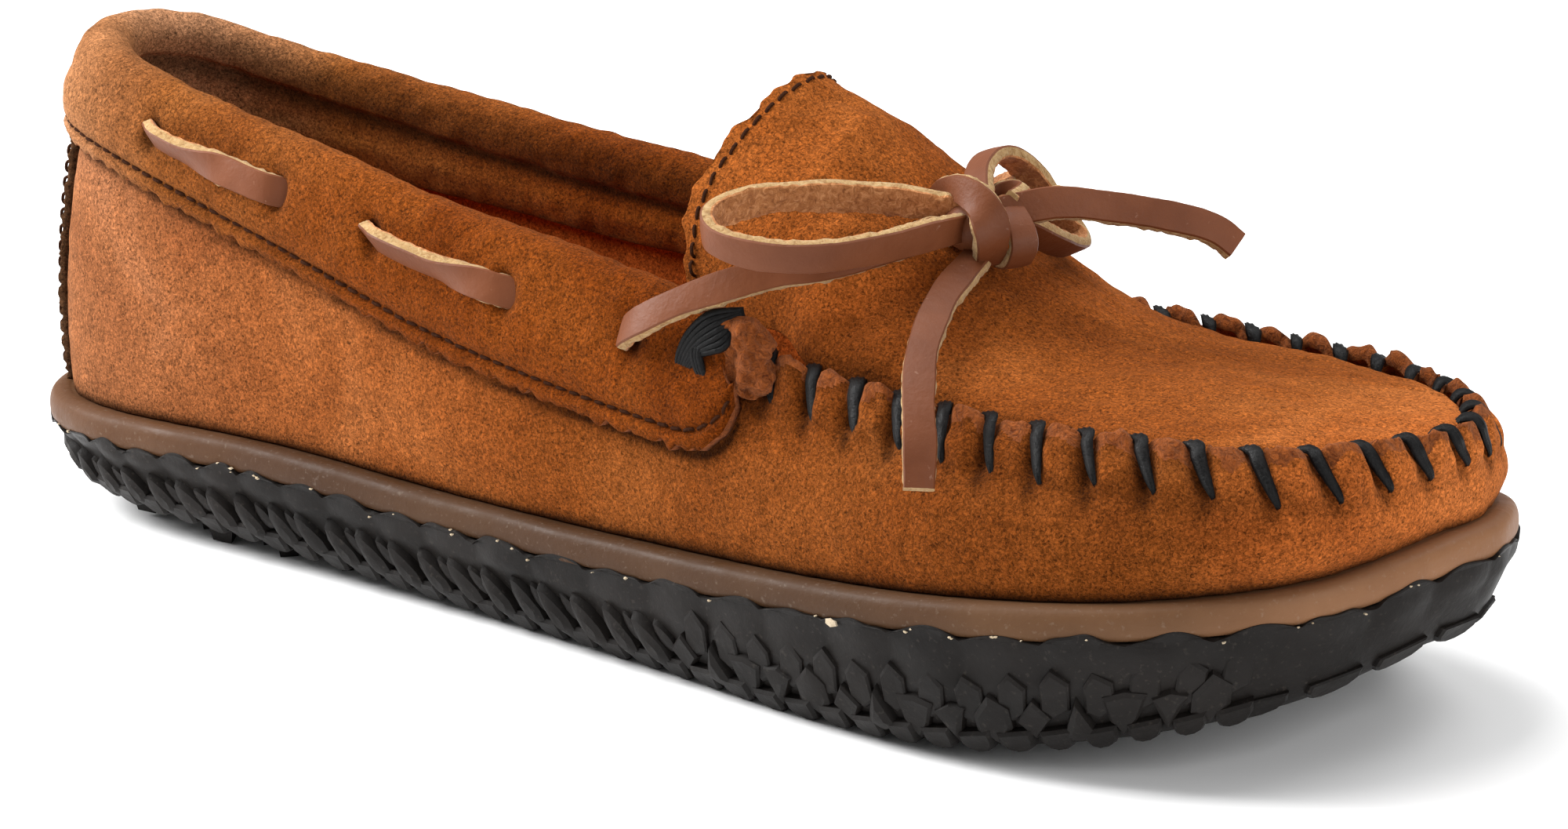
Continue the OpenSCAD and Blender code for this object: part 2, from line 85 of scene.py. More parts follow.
def make_camera():
    data = bpy.data.cameras.new("camera")
    data.lens = VIEW_LENS
    data.sensor_width = SENSOR_WIDTH
    bpy.context.scene.camera = aimed("camera", data, VIEW_AZIMUTH, VIEW_ELEVATION,
                                     VIEW_DISTANCE, VIEW_TARGET)


def soft_light(name, azimuth, elevation, distance, size, watts):
    data = bpy.data.lights.new(name, "AREA")
    data.size = size
    data.energy = watts
    aimed(name, data, math.radians(azimuth), math.radians(elevation), distance, LIGHT_TARGET)


def make_studio():
    scene = bpy.context.scene
    scene.view_settings.view_transform = "Standard"
    world = bpy.data.worlds.new("studio")
    scene.world = world
    world.use_nodes = True
    sky = world.node_tree.nodes["Background"]
    sky.inputs["Color"].default_value = (1, 1, 1, 1)
    sky.inputs["Strength"].default_value = SKY_STRENGTH
    for light in LIGHTS:
        soft_light(*light)
    floor = bpy.data.meshes.new("studio_floor")
    half = FLOOR_HALF
    floor.from_pydata([(-half, -half, 0), (half, -half, 0), (half, half, 0), (-half, half, 0)],
                      [], [(0, 1, 2, 3)])
    obj = bpy.data.objects.new("studio_floor", floor)
    bpy.context.collection.objects.link(obj)
    obj.data.materials.append(plain_floor())


# ---------------------------------------------------------------- materials

class Shader:
    """A principled material, and short calls that add nodes to it."""

    def __init__(self, name, roughness, specular, sheen=0.0):
        self.material = bpy.data.materials.new(name)
        self.material.use_nodes = True
        self.tree = self.material.node_tree
        self.surface = self.tree.nodes["Principled BSDF"]
        self.set("Roughness", roughness)
        self.set("Specular IOR Level", specular)
        self.set("Sheen Weight", sheen)
        self.place = self.node("ShaderNodeTexCoord").outputs["Object"]

    def set(self, socket, value):
        self.surface.inputs[socket].default_value = value

    def node(self, kind, **values):
        made = self.tree.nodes.new(kind)
        for key, value in values.items():
            setattr(made, key, value)
        return made

    def link(self, out, socket):
        self.tree.links.new(out, socket)

    def noise(self, size_mm, detail, rough, distortion=0.0):
        made = self.node("ShaderNodeTexNoise")
        made.inputs["Scale"].default_value = 1000.0 / size_mm
        made.inputs["Detail"].default_value = detail
        made.inputs["Roughness"].default_value = rough
        made.inputs["Distortion"].default_value = distortion
        self.link(self.place, made.inputs["Vector"])
        return made.outputs["Fac"]

    def ramp(self, value, stops):
        made = self.node("ShaderNodeValToRGB")
        ramp = made.color_ramp
        while len(ramp.elements) < len(stops):
            ramp.elements.new(0.5)
        for element, (position, colour) in zip(ramp.elements, stops):
            element.position = position
            element.color = (*colour, 1)
        self.link(value, made.inputs["Fac"])
        return made.outputs["Color"]

    def mix(self, first, second, share, blend="MIX"):
        """Two colours mixed; the sockets are the colour ones of a Mix node."""
        made = self.node("ShaderNodeMix", data_type="RGBA", blend_type=blend)
        for value, key in ((share, 0), (first, 6), (second, 7)):
            socket = made.inputs[key]
            if isinstance(value, float):
                socket.default_value = value
            elif isinstance(value, tuple):
                socket.default_value = (*value, 1)
            else:
                self.link(value, socket)
        return made.outputs[2]

    def times(self, first, second):
        return self.mix(first, second, 1.0, "MULTIPLY")

    def plus_one(self, value):
        made = self.node("ShaderNodeMath", operation="ADD")
        self.link(value, made.inputs[0])
        made.inputs[1].default_value = 1.0
        return made.outputs[0]

    def lengthwise(self, stops):
        """Colour that changes along the shoe: stops are (x in mm, colour)."""
        parts = self.node("ShaderNodeSeparateXYZ")
        self.link(self.place, parts.inputs[0])
        low, high = stops[0][0], stops[-1][0]
        share = self.node("ShaderNodeMapRange")
        for socket, value in ((1, low * MM), (2, high * MM)):
            share.inputs[socket].default_value = value
        self.link(parts.outputs[0], share.inputs[0])
        return self.ramp(share.outputs[0],
                         [((x - low) / (high - low), colour) for x, colour in stops])

    def colour(self, out):
        self.link(out, self.surface.inputs["Base Color"])

    def bump(self, height, distance_mm):
        made = self.node("ShaderNodeBump")
        made.inputs["Distance"].default_value = distance_mm * MM
        made.inputs["Strength"].default_value = 1.0
        self.link(height, made.inputs["Height"])
        self.link(made.outputs["Normal"], self.surface.inputs["Normal"])


def grey(value):
    return (value, value, value)


def plain_floor():
    shade = Shader("studio_white", roughness=0.9, specular=0.0)
    shade.set("Base Color", (0.93, 0.93, 0.93, 1))
    return shade.material


def suede(name, dark, mid, light, fade=None, grain_depth=0.4, cloud_mm=34):
    """Napped leather: cloudy patches where the nap is brushed, and a dense fine grain. The
    fade is a list of places along the shoe in mm and the colour's factor there."""
    shade = Shader(name, roughness=0.95, specular=0.03, sheen=0.08)
    shade.set("Sheen Roughness", 0.4)
    shade.set("Sheen Tint", (1.0, 0.5, 0.25, 1))
    cloud = shade.noise(cloud_mm, 4, 0.55, distortion=0.6)
    base = shade.ramp(cloud, [(0.3, dark), (0.5, mid), (0.72, light)])
    brushed = shade.noise(5, 4, 0.65, distortion=1.5)
    base = shade.times(base, shade.ramp(brushed, [(0.28, grey(0.8)), (0.72, grey(1.18))]))
    grain = shade.noise(0.5, 3, 0.7, distortion=0.8)
    speck = shade.ramp(grain, [(0.3, grey(0.2)), (0.5, grey(0.95)), (0.68, grey(1.8))])
    base = shade.times(base, speck)
    if fade:
        base = shade.times(base, shade.lengthwise(fade))
    # Painted shade, with a little dirt at the wall's foot: the mesh's tone attribute darkens
    # creases, stitch holes, slits and places under or inside other parts
    tone = shade.node("ShaderNodeAttribute", attribute_name="tone").outputs["Fac"]
    crease = shade.ramp(shade.plus_one(tone), [(0.0, grey(0.16)), (1.0, grey(1.0))])
    shade.colour(shade.times(base, crease))
    shade.bump(grain, grain_depth)
    return shade.material


def raw_edge(name, dark, light):
    """Cut edge of suede: loose dark fibres."""
    shade = Shader(name, roughness=1.0, specular=0.03, sheen=0.15)
    shade.set("Sheen Tint", (1.0, 0.6, 0.4, 1))
    fibre = shade.noise(1.1, 4, 0.7, distortion=1.5)
    shade.colour(shade.ramp(fibre, [(0.3, dark), (0.62, light)]))
    shade.bump(fibre, 0.9)
    return shade.material


def rubber(name, dark, light, roughness, dust, fade=None):
    """Matt moulded rubber with pale specks of dust and uneven wear."""
    shade = Shader(name, roughness=roughness, specular=0.14)
    tone = shade.ramp(shade.noise(22, 4, 0.6), [(0.3, dark), (0.7, light)])
    specks = shade.ramp(shade.noise(0.8, 2, 0.5), [(0.62, grey(0)), (0.74, grey(dust))])
    if fade:
        tone = shade.times(tone, shade.lengthwise(fade))
    shade.colour(shade.mix(tone, (0.3, 0.25, 0.2), specks))
    shade.bump(shade.noise(1.4, 4, 0.6), 0.12)
    wear = shade.ramp(shade.noise(9, 3, 0.6), [(0.3, grey(roughness - 0.08)),
                                                (0.7, grey(roughness + 0.14))])
    shade.link(wear, shade.surface.inputs["Roughness"])
    return shade.material


def lace_face():
    """Smooth finished side of the thong, with a few pale scuffs."""
    shade = Shader("lace_smooth_face", roughness=0.5, specular=0.18)
    tone = shade.ramp(shade.noise(16, 3, 0.6), [(0.3, (0.105, 0.03, 0.01)),
                                                 (0.7, (0.16, 0.05, 0.019))])
    scuff = shade.ramp(shade.noise(1.3, 3, 0.6), [(0.68, grey(0)), (0.8, grey(0.4))])
    shade.colour(shade.mix(tone, (0.4, 0.24, 0.17), scuff))
    shade.bump(shade.noise(0.9, 3, 0.6), 0.1)
    return shade.material


def lace_raw(name, dark, mid, light):
    """Raw side of the thong: short fibres, with darker pits."""
    shade = Shader(name, roughness=0.95, specular=0.08, sheen=0.1)
    fibre = shade.noise(1.0, 4, 0.7, distortion=1.0)
    shade.colour(shade.ramp(fibre, [(0.3, dark), (0.5, mid), (0.72, light)]))
    shade.bump(fibre, 0.35)
    return shade.material


def thread(name, dark, light, roughness, strand_mm, specular):
    """Twisted thread, its strands shown as streaks."""
    shade = Shader(name, roughness=roughness, specular=specular)
    fibre = shade.noise(strand_mm, 3, 0.7, distortion=2.0)
    shade.colour(shade.ramp(fibre, [(0.3, dark), (0.72, light)]))
    shade.bump(fibre, 0.14)
    return shade.material


def board(name, dark, light):
    """Dull pressed fibre, foam or dried glue."""
    shade = Shader(name, roughness=0.9, specular=0.15)
    shade.colour(shade.ramp(shade.noise(2.5, 5, 0.7), [(0.3, dark), (0.7, light)]))
    shade.bump(shade.noise(1.0, 3, 0.6), 0.15)
    return shade.material


# Colour changes from the paler heel to the darker, redder front: (x in mm, factor)
# These factors are partly the materials' own colour and partly painted light: the pale heel
# end, and the bright toe end of the upper and the midsole, stand in for light falling there
UPPER_COLOUR_AND_LIGHT = [(-140, (1.03, 1.5, 3.6)), (-75, (1.02, 1.12, 1.6)), (-10, (0.97, 0.94, 0.85)),
              (50, (0.98, 0.92, 0.8)), (110, (0.97, 0.95, 0.9)), (140, (1.55, 1.55, 1.8))]
CUFF_COLOUR_AND_LIGHT = [(-140, (1.4, 2.5, 6.5)), (-100, (0.8, 0.95, 1.1)), (-50, (0.64, 0.54, 0.33)),
             (40, (0.6, 0.48, 0.25))]
MIDSOLE_COLOUR_AND_LIGHT = [(-140, (0.54, 0.42, 0.3)), (-60, (0.32, 0.26, 0.19)), (60, (0.34, 0.28, 0.2)),
                (115, (0.8, 0.7, 0.56)), (140, (1.3, 1.1, 0.9))]
SUEDE = suede("rust_suede", (0.185, 0.046, 0.0075), (0.245, 0.066, 0.0115),
              (0.31, 0.094, 0.02), UPPER_COLOUR_AND_LIGHT)
SUEDE_COLLAR = suede("collar_suede", (0.175, 0.042, 0.0065), (0.23, 0.06, 0.0105),
                     (0.285, 0.084, 0.018), CUFF_COLOUR_AND_LIGHT, cloud_mm=30)
SUEDE_INSIDE = suede("inner_suede", (0.3, 0.06, 0.009), (0.42, 0.095, 0.015),
                     (0.54, 0.135, 0.024), grain_depth=0.3)
RAW_EDGE = raw_edge("raw_suede_edge", (0.07, 0.014, 0.0035), (0.3, 0.08, 0.018))
MIDSOLE = rubber("brown_rubber", (0.14, 0.075, 0.042), (0.19, 0.108, 0.063), 0.5, dust=0.14,
                 fade=MIDSOLE_COLOUR_AND_LIGHT)
OUTSOLE = rubber("dark_rubber", (0.0055, 0.0044, 0.0038), (0.0125, 0.0102, 0.009), 0.5,
                 dust=0.05)
GLUE = board("dried_glue", (0.32, 0.24, 0.15), (0.62, 0.52, 0.38))
LACE_FACE = lace_face()
LACE_FLESH = lace_raw("lace_raw_flesh", (0.2, 0.07, 0.022), (0.38, 0.155, 0.055),
                      (0.6, 0.3, 0.13))
LACE_CUT = lace_raw("lace_cut_edge", (0.211, 0.105, 0.0372), (0.36, 0.223, 0.093),
                    (0.459, 0.322, 0.167))
WAXED = thread("waxed_thread", (0.0012, 0.0012, 0.0013), (0.009, 0.0085, 0.0085), 0.38, 0.7,
               0.12)
MACHINE = thread("machine_thread", (0.012, 0.004, 0.0015), (0.055, 0.018, 0.007), 0.8, 0.5,
                 0.05)
FOAM = board("footbed_foam", (0.6, 0.52, 0.36), (0.72, 0.65, 0.48))
FIBRE = board("fibre_board", (0.34, 0.26, 0.17), (0.46, 0.37, 0.26))

make_camera()
make_studio()

# ---------------------------------------------------------------- shape of the shoe (mm)

# The outlines, heights and offsets are those of the CAD model: point 0 is the heel's
# back, 1 to 10 run along the lateral side to the toe, 11 to 20 come back medially.
SOLE = np.array([
    [-142, 2], [-135, -18], [-114, -30], [-72, -33], [-32, -36], [8, -41], [48, -47.5],
    [80, -50], [108, -43], [131, -25], [140.5, 2], [140.5, 18], [130, 36], [108, 47], [78, 50],
    [48, 48], [8, 39], [-32, 32.5], [-72, 33], [-114, 32.5], [-135, 21]], float)
SOLE_TOP = np.array([20, 20, 21, 22, 21, 22, 24.5, 27.5, 30, 33, 36], float)
SOLE_BOTTOM = np.array([10, 8, 5, 3, 1.5, 1, 0.8, 3, 7.5, 13, 17], float)
RIM = np.array([
    [-132, 2, 80.5], [-126, -12, 80], [-110, -20.5, 77.5], [-73, -25, 71.5], [-36, -28, 65],
    [4, -31, 60], [42, -33, 54], [76, -35, 52.5], [102, -34, 53], [124, -25, 52.5],
    [136, -4, 52], [136, 12, 51.5], [124, 28, 50.5], [105, 37, 50], [78, 40, 50.5],
    [44, 38, 52], [4, 35, 58.5], [-36, 31.5, 63], [-73, 29, 67.5], [-110, 24, 73.5],
    [-126, 15, 78.5]], float)
BULGE = np.array([3, 3, 2, 2, 2.5, 3, 4, 5, 5, 5, 2, 2, 5, 5, 5, 4, 3, 2.5, 2, 2, 3], float)
COLLAR_LOW = np.array([
    0.77, 0.77, 0.76, 0.67, 0.57, 0.5, 0.5, 0.5, 0.5, 0.5, 0.5,
    0.5, 0.5, 0.5, 0.5, 0.5, 0.5, 0.57, 0.67, 0.76, 0.77])
COUNT = len(SOLE)
UP = np.array([0.0, 0.0, 1.0])
SUEDE_THICK = 1.8
# Clearance between layers, and the body wall's foot inside the sole's edge
GAP = 0.3
WALL_INSET = 4.0
# Radius of the collar's padded roll
COLLAR_ROLL = 4.7


def spline(a, b, c, d, t):
    """Catmull-Rom curve from b to c."""
    return 0.5 * (2 * b + (c - a) * t + (2 * a - 5 * b + 4 * c - d) * t * t
                  + (3 * b - 3 * c + d - a) * t ** 3)


def at(table, u):
    """Smooth closed curve through a table's rows; u counts the rows."""
    u = np.asarray(u, float)
    k = np.floor(u).astype(int)
    t = u - k
    if table.ndim > 1:
        t = t[..., None]
    n = len(table)
    return spline(table[(k - 1) % n], table[k % n], table[(k + 1) % n], table[(k + 2) % n], t)


def along(table, u):
    """Smooth open curve through a table's rows."""
    u = np.asarray(u, float)
    n = len(table) - 1
    k = np.clip(np.floor(u).astype(int), 0, n - 1)
    t = u - k
    if table.ndim > 1:
        t = t[..., None]
    return spline(table[np.maximum(k - 1, 0)], table[k], table[k + 1],
                  table[np.minimum(k + 2, n)], t)


def unit(v):
    return v / np.maximum(np.linalg.norm(v, axis=-1, keepdims=True), 1e-9)


def smooth_step(x, low, high):
    t = np.clip((x - low) / (high - low), 0, 1)
    return t * t * (3 - 2 * t)


def bell(x, centre, width):
    return np.exp(-((x - centre) / width) ** 2)


def profile(table, u):
    """Value from a table that runs from heel to toe, the same on both sides."""
    w = np.mod(u, COUNT)
    return along(table, np.minimum(np.minimum(w, COUNT - w), 10))


def outward(u):
    """Level direction away from the sole's edge."""
    u = np.asarray(u, float)
    d = unit(at(SOLE, u + 0.05) - at(SOLE, u - 0.05))
    return np.stack([d[..., 1], -d[..., 0], np.zeros(u.shape)], -1)


def edge(u, inset, z):
    """Point of the sole's edge moved in by inset, at the height z."""
    u, inset, z = np.broadcast_arrays(np.asarray(u, float), inset, z)
    p = at(SOLE, u)
    n = outward(u)
    return np.stack([p[..., 0] - n[..., 0] * inset, p[..., 1] - n[..., 1] * inset, z], -1)


def top_z(u):
    return profile(SOLE_TOP, u)


def bottom_z(u):
    return np.maximum(profile(SOLE_BOTTOM, u), 0)


def rim(u):
    return at(RIM, u)


def wall(u, t):
    """The body's side wall: t is 0 at the sole and 1 at the rim."""
    u, t = np.broadcast_arrays(np.asarray(u, float), np.asarray(t, float))
    foot = edge(u, WALL_INSET, top_z(u) + GAP)
    s = t[..., None]
    bulge = (at(BULGE, u) * 4 * t * (1 - t))[..., None]
    return foot * (1 - s) + rim(u) * s + outward(u) * bulge


def wall_normal(u, t):
    e = 0.03
    s = np.minimum(t, 0.97)
    return unit(np.cross(wall(u + e, s) - wall(u - e, s), wall(u, s + e) - wall(u, s - e)))


def skin(u, t, off):
    """Point at a distance off the body's wall."""
    u, t, off = np.broadcast_arrays(np.asarray(u, float), np.asarray(t, float), off)
    return wall(u, t) + wall_normal(u, t) * off[..., None]


def waves(p, size, seed, count=14):
    """Smooth repeatable noise of about unit height, with features of the given size."""
    rng = np.random.default_rng(seed)
    direction = unit(rng.normal(size=(count, 3)))
    speed = 2 * math.pi / (size * rng.uniform(1.2, 3.2, count))
    phase = rng.uniform(0, 2 * math.pi, count)
    angle = np.tensordot(p, (direction * speed[:, None]).T, axes=1) + phase
    return np.sin(angle).sum(-1) / math.sqrt(count / 2)


# ---------------------------------------------------------------- meshes

def add_mesh(name, points, faces, materials, body="shoe", stands_for=(),
             face_materials=None, sharp=None, tone=None, smooth=True):
    """A piece from points in mm, on its CAD body, in place of the CAD nodes it stands for."""
    mesh = bpy.data.meshes.new(name)
    mesh.from_pydata((np.asarray(points, float).reshape(-1, 3) * MM).tolist(), [], faces)
    for material in materials if isinstance(materials, (list, tuple)) else [materials]:
        mesh.materials.append(material)
    if face_materials is not None:
        mesh.polygons.foreach_set("material_index", np.asarray(face_materials, np.int32))
    mesh.polygons.foreach_set("use_smooth", np.full(len(faces), smooth))
    if tone is not None:
        layer = mesh.attributes.new("tone", "FLOAT", "POINT")
        layer.data.foreach_set("value", np.asarray(tone, np.float32).ravel())
    mesh.update()
    if sharp is not None:
        mesh.set_sharp_from_angle(angle=math.radians(sharp))
    obj = bpy.data.objects.new(name, mesh)
    bpy.context.collection.objects.link(obj)
    if body:
        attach(obj, body)
    if stands_for:
        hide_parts(*stands_for)
    return obj


def grid_faces(rows, columns, first=0, wrap_columns=False, flip=False):
    """Quads between neighbouring points of a grid stored row by row."""
    i = np.arange(rows - 1)[:, None] * columns
    j = np.arange(columns if wrap_columns else columns - 1)[None, :]
    j2 = (j + 1) % columns
    quads = np.stack([i + j, i + j2, i + columns + j2, i + columns + j], -1)
    quads = quads.reshape(-1, 4) + first
    if flip:
        quads = quads[:, ::-1]
    return quads.tolist()


def floor_faces(first, n, up):
    """Strip of faces between the two sides of a ring of n points."""
    faces = []
    for i in range(n // 2):
        a, b = first + i, first + i + 1
        c, d = first + (n - i - 1) % n, first + (n - i) % n
        if i == 0:
            face = [a, b, c]
        elif b == c:
            face = [a, b, d]
        else:
            face = [a, b, c, d]
        faces.append(face if up else face[::-1])
    return faces


def stack_faces(levels, n):
    """Closed stack of rings of n points."""
    return (grid_faces(levels, n, wrap_columns=True) + floor_faces(0, n, False)
            + floor_faces((levels - 1) * n, n, True))


def joined(*grids):
    """The points of some grids in one list."""
    return np.concatenate([grid.reshape(-1, 3) for grid in grids])


def shell_faces(rows, columns):
    """Sheet with thickness: the outer grid, then the inner grid, joined round the edge."""
    inner = rows * columns
    faces = grid_faces(rows, columns) + grid_faces(rows, columns, inner, flip=True)
    border = ([(0, j) for j in range(columns - 1)]
              + [(i, columns - 1) for i in range(rows - 1)]
              + [(rows - 1, j) for j in range(columns - 1, 0, -1)]
              + [(i, 0) for i in range(rows - 1, 0, -1)])
    ids = [i * columns + j for i, j in border]
    for a, b in zip(ids, ids[1:] + ids[:1]):
        faces.append([b, a, a + inner, b + inner])
    return faces


def grid_normals(grid):
    """Unit normals of an open grid of points."""
    return unit(np.cross(np.gradient(grid, axis=1), np.gradient(grid, axis=0)))


def tube(route, across, half_width, half_height, section):
    """Rings of a section along a route; section holds (across, up) pairs in -1 to 1."""
    tangent = unit(np.gradient(route, axis=0))
    side = unit(across - tangent * (across * tangent).sum(-1, keepdims=True))
    up = np.cross(tangent, side)
    w = np.broadcast_to(half_width, len(route))[:, None, None]
    h = np.broadcast_to(half_height, len(route))[:, None, None]
    s = np.asarray(section, float)
    return (route[:, None] + side[:, None] * s[None, :, :1] * w
            + up[:, None] * s[None, :, 1:] * h)


def tube_faces(rings, k, first=0):
    """Closed tube: its sides and its two end caps."""
    faces = grid_faces(rings, k, first, wrap_columns=True)
    faces.append(list(range(first + k - 1, first - 1, -1)))
    last = first + (rings - 1) * k
    faces.append(list(range(last, last + k)))
    return faces


def bundle(tubes, first=0):
    """Points and faces of several tubes that follow the first points of a mesh."""
    faces = []
    for rings in tubes:
        faces += tube_faces(*rings.shape[:2], first)
        first += rings.shape[0] * rings.shape[1]
    return joined(*tubes), faces


def circle(sides):
    """Round section for a tube."""
    return [(math.cos(a), math.sin(a)) for a in np.linspace(0, 2 * math.pi, sides + 1)[:-1]]


def distances(route):
    """Distance gone along a route at each of its points."""
    return np.concatenate([[0], np.cumsum(np.linalg.norm(np.diff(route, axis=0), axis=1))])


def pick(values, gone, places):
    """Vectors known at some distances or counts, read at other places."""
    return np.stack([np.interp(places, gone, values[:, k]) for k in range(3)], 1)


def resample(points, count):
    """Points evenly spaced along a smooth open curve through a few points."""
    points = np.asarray(points, float)
    dense = along(points, np.linspace(0, len(points) - 1, 40 * len(points)))
    gone = distances(dense)
    return pick(dense, gone, np.linspace(0, gone[-1], count))


def route_length(route):
    return float(np.linalg.norm(np.diff(route, axis=0), axis=1).sum())


# ---------------------------------------------------------------- lace

LACE_WIDTH = 5.2
LACE_THICK = 2.2
# The lace's section in half widths and half thicknesses: the raw flesh side, then a cut
# edge, the smooth face on top and the other cut edge
LACE_SECTION = [
    (-1, -0.62), (-0.93, -0.9), (-0.6, -1), (-0.2, -1), (0.2, -1), (0.6, -1), (0.93, -0.9),
    (1, -0.62), (1, 0), (0.985, 0.62), (0.9, 0.92), (0.5, 1), (0, 1), (-0.5, 1), (-0.9, 0.92),
    (-0.985, 0.62), (-1, 0)]
# The material of each face of the section: 0 smooth finish, 1 raw flesh side, 2 cut edge
LACE_FINISH = [1, 1, 1, 1, 1, 1, 1, 2, 2, 0, 0, 0, 0, 0, 0, 2, 2]
LACE_MATERIALS = [LACE_FACE, LACE_FLESH, LACE_CUT]


def ribbon(keys, across, step=0.7, seed=1, faces_up=True, taper=None):
    """Rings, route and face materials of a flat leather lace through a few points; across
    gives the direction over its width at evenly spaced places."""
    rough = resample(keys, 60)
    count = max(12, int(route_length(rough) / step))
    route = resample(keys, count)
    across = np.asarray(across, float)
    turn = unit(along(across, np.linspace(0, len(across) - 1, count)))
    half = np.full(count, LACE_WIDTH / 2) * (1 + 0.035 * waves(route, 6, seed))
    if taper is not None:
        half = half * np.interp(np.linspace(0, 1, count), *taper)
    section = np.array(LACE_SECTION)
    if not faces_up:
        section = (section * [1, -1])[::-1]
    rings = tube(route, turn, half, LACE_THICK / 2, section)
    # The raw side and edges are slightly fibrous
    fuzz = waves(rings, 0.9, seed + 40, 20)[..., None]
    smooth = np.abs(np.array(LACE_SECTION)[:, 1] - 0.8) < 0.25
    if not faces_up:
        smooth = smooth[::-1]
    fuzz = fuzz * np.where(smooth, 0.02, 0.1)[None, :, None]
    rings = rings + unit(rings - route[:, None]) * fuzz
    k = len(section)
    finish = LACE_FINISH if faces_up else [LACE_FINISH[(k - 2 - j) % k] for j in range(k)]
    return rings, route, finish * (count - 1) + [2, 2]


def thong(name, keys, across, stands_for=(), **more):
    """A piece of lace with its two cut ends. Returns the piece and its route."""
    rings, route, index = ribbon(keys, across, **more)
    obj = add_mesh(name, rings, tube_faces(*rings.shape[:2]), LACE_MATERIALS,
                   face_materials=index, sharp=38, stands_for=stands_for)
    return obj, route


# The knot lies on the instep, and every free stretch of the lace starts or ends in it
KNOT = np.array([56.0, -8.0, 76.0])
STRAND_LATERAL = [
    [6.5, -33, 55.6], [8.5, -37.8, 57], [13, -39.8, 60], [20, -38.5, 64], [28, -35.5, 67.5],
    [34, -32, 69.5], [41, -28.5, 71], [47, -21, 73], [52, -13, 75]]
STRAND_MEDIAL = [
    [4, 42, 54], [12, 42.5, 58.5], [22, 40, 63], [32, 34, 68], [42, 24, 74], [48, 12, 76.5],
    [53, 3, 77], [56, -4, 77]]
LOOP_LATERAL = [
    [55, -9, 78.2], [42, -15, 79.5], [31, -24, 80], [26.5, -31, 79.5], [25, -37.5, 78],
    [29, -41.5, 76.2], [37, -41, 75], [45, -36.5, 74.8], [51, -28.5, 75.4], [55, -19, 76.2],
    [56, -12, 76]]
LOOP_MEDIAL = [
    [55, -5, 79], [51, 1, 82], [49.5, 7, 83.2], [50, 12, 82], [51.5, 16.5, 77.8],
    [53.5, 20, 72.2], [56, 21.5, 68], [58.5, 18.5, 67], [60, 12.5, 68.5], [60.5, 5.5, 71.5],
    [59, -1, 75]]
TAIL_FRONT = [
    [58, -7, 77.2], [66, 0, 79], [73, 6, 78], [81, 12, 76.2], [86, 16, 74.2], [89, 18, 71.5]]
TAIL_HANGING = [
    [58.5, -9.5, 71.8], [59.5, -18, 69.4], [61, -26, 66.6], [64, -35, 62], [68, -42, 56.8],
    [71.5, -46.8, 51], [73.5, -50, 45]]


def free_lace(name, keys, across, stiffness, lay, far_end, **more):
    """A piece of lace, from its first key point to its last."""
    obj, route = thong(name + "_thong", keys, across, stands_for=(name,), **more)


# The knot's front band comes over the top from the lateral loop and turns down
KNOT_BAND = [
    [47, -5.5, 78.5], [50.5, -8, 80.8], [55.5, -10.5, 81.8], [60, -12, 80.3], [62, -12.6, 77],
    [61.8, -12.2, 73.8], [59.5, -9.5, 70.8], [56, -5, 70]]
KNOT_BAND_ACROSS = [[-0.3, -0.3, 1], [0.1, 0.2, 1], [0.5, 0.8, 0.3], [0.5, 0.95, -0.1]]
KNOT_BAND_WIDTH = ([0, 0.15, 0.4, 0.6, 0.85, 1], [0.5, 0.72, 1.05, 1.2, 0.95, 0.7])
# A second turn shows under it on the toe side, and a third closes it behind
KNOT_LOW = [[58, -3, 78.5], [62.5, -6, 77.2], [65, -7.6, 74], [63.6, -7.4, 70.8],
            [59, -4, 69.5]]
KNOT_BACK = [[50, -7, 72], [51, -2, 75], [54, 2, 77.5], [58, 1, 78.5], [60, -5, 78.8]]


def make_knot():
    """The wraps of lace drawn tight over the strands that they hold."""
    tubes, index = [], []
    for keys, across, taper, seed in (
            (KNOT_BAND, KNOT_BAND_ACROSS, KNOT_BAND_WIDTH, 14),
            (KNOT_LOW, [[0.3, 0.9, 0.2], [0.75, 0.6, 0.1]], ([0, 0.5, 1], [0.7, 0.9, 0.7]), 15),
            (KNOT_BACK, [[0.7, -0.5, 0.5], [0.5, 0.3, 0.9]], None, 16)):
        rings, _, finish = ribbon(keys, across, step=0.5, seed=seed, taper=taper)
        tubes.append(rings)
        index += finish
    core = KNOT + [0.5, -1.0, -0.4]
    a, b = np.meshgrid(np.linspace(0, 2 * math.pi, 24, endpoint=False),
                       np.linspace(-1.5, 1.5, 14))
    tubes.append(np.stack([np.cos(a) * np.cos(b) * 5.5, np.sin(a) * np.cos(b) * 4.2,
                           np.sin(b) * 4.2], -1) + core)
    index += [0] * (13 * 24 + 2)
    points, faces = bundle(tubes)
    add_mesh("bow_knot_wrap", points, faces, LACE_MATERIALS,
             face_materials=index, sharp=40, stands_for=("bow_knot",))


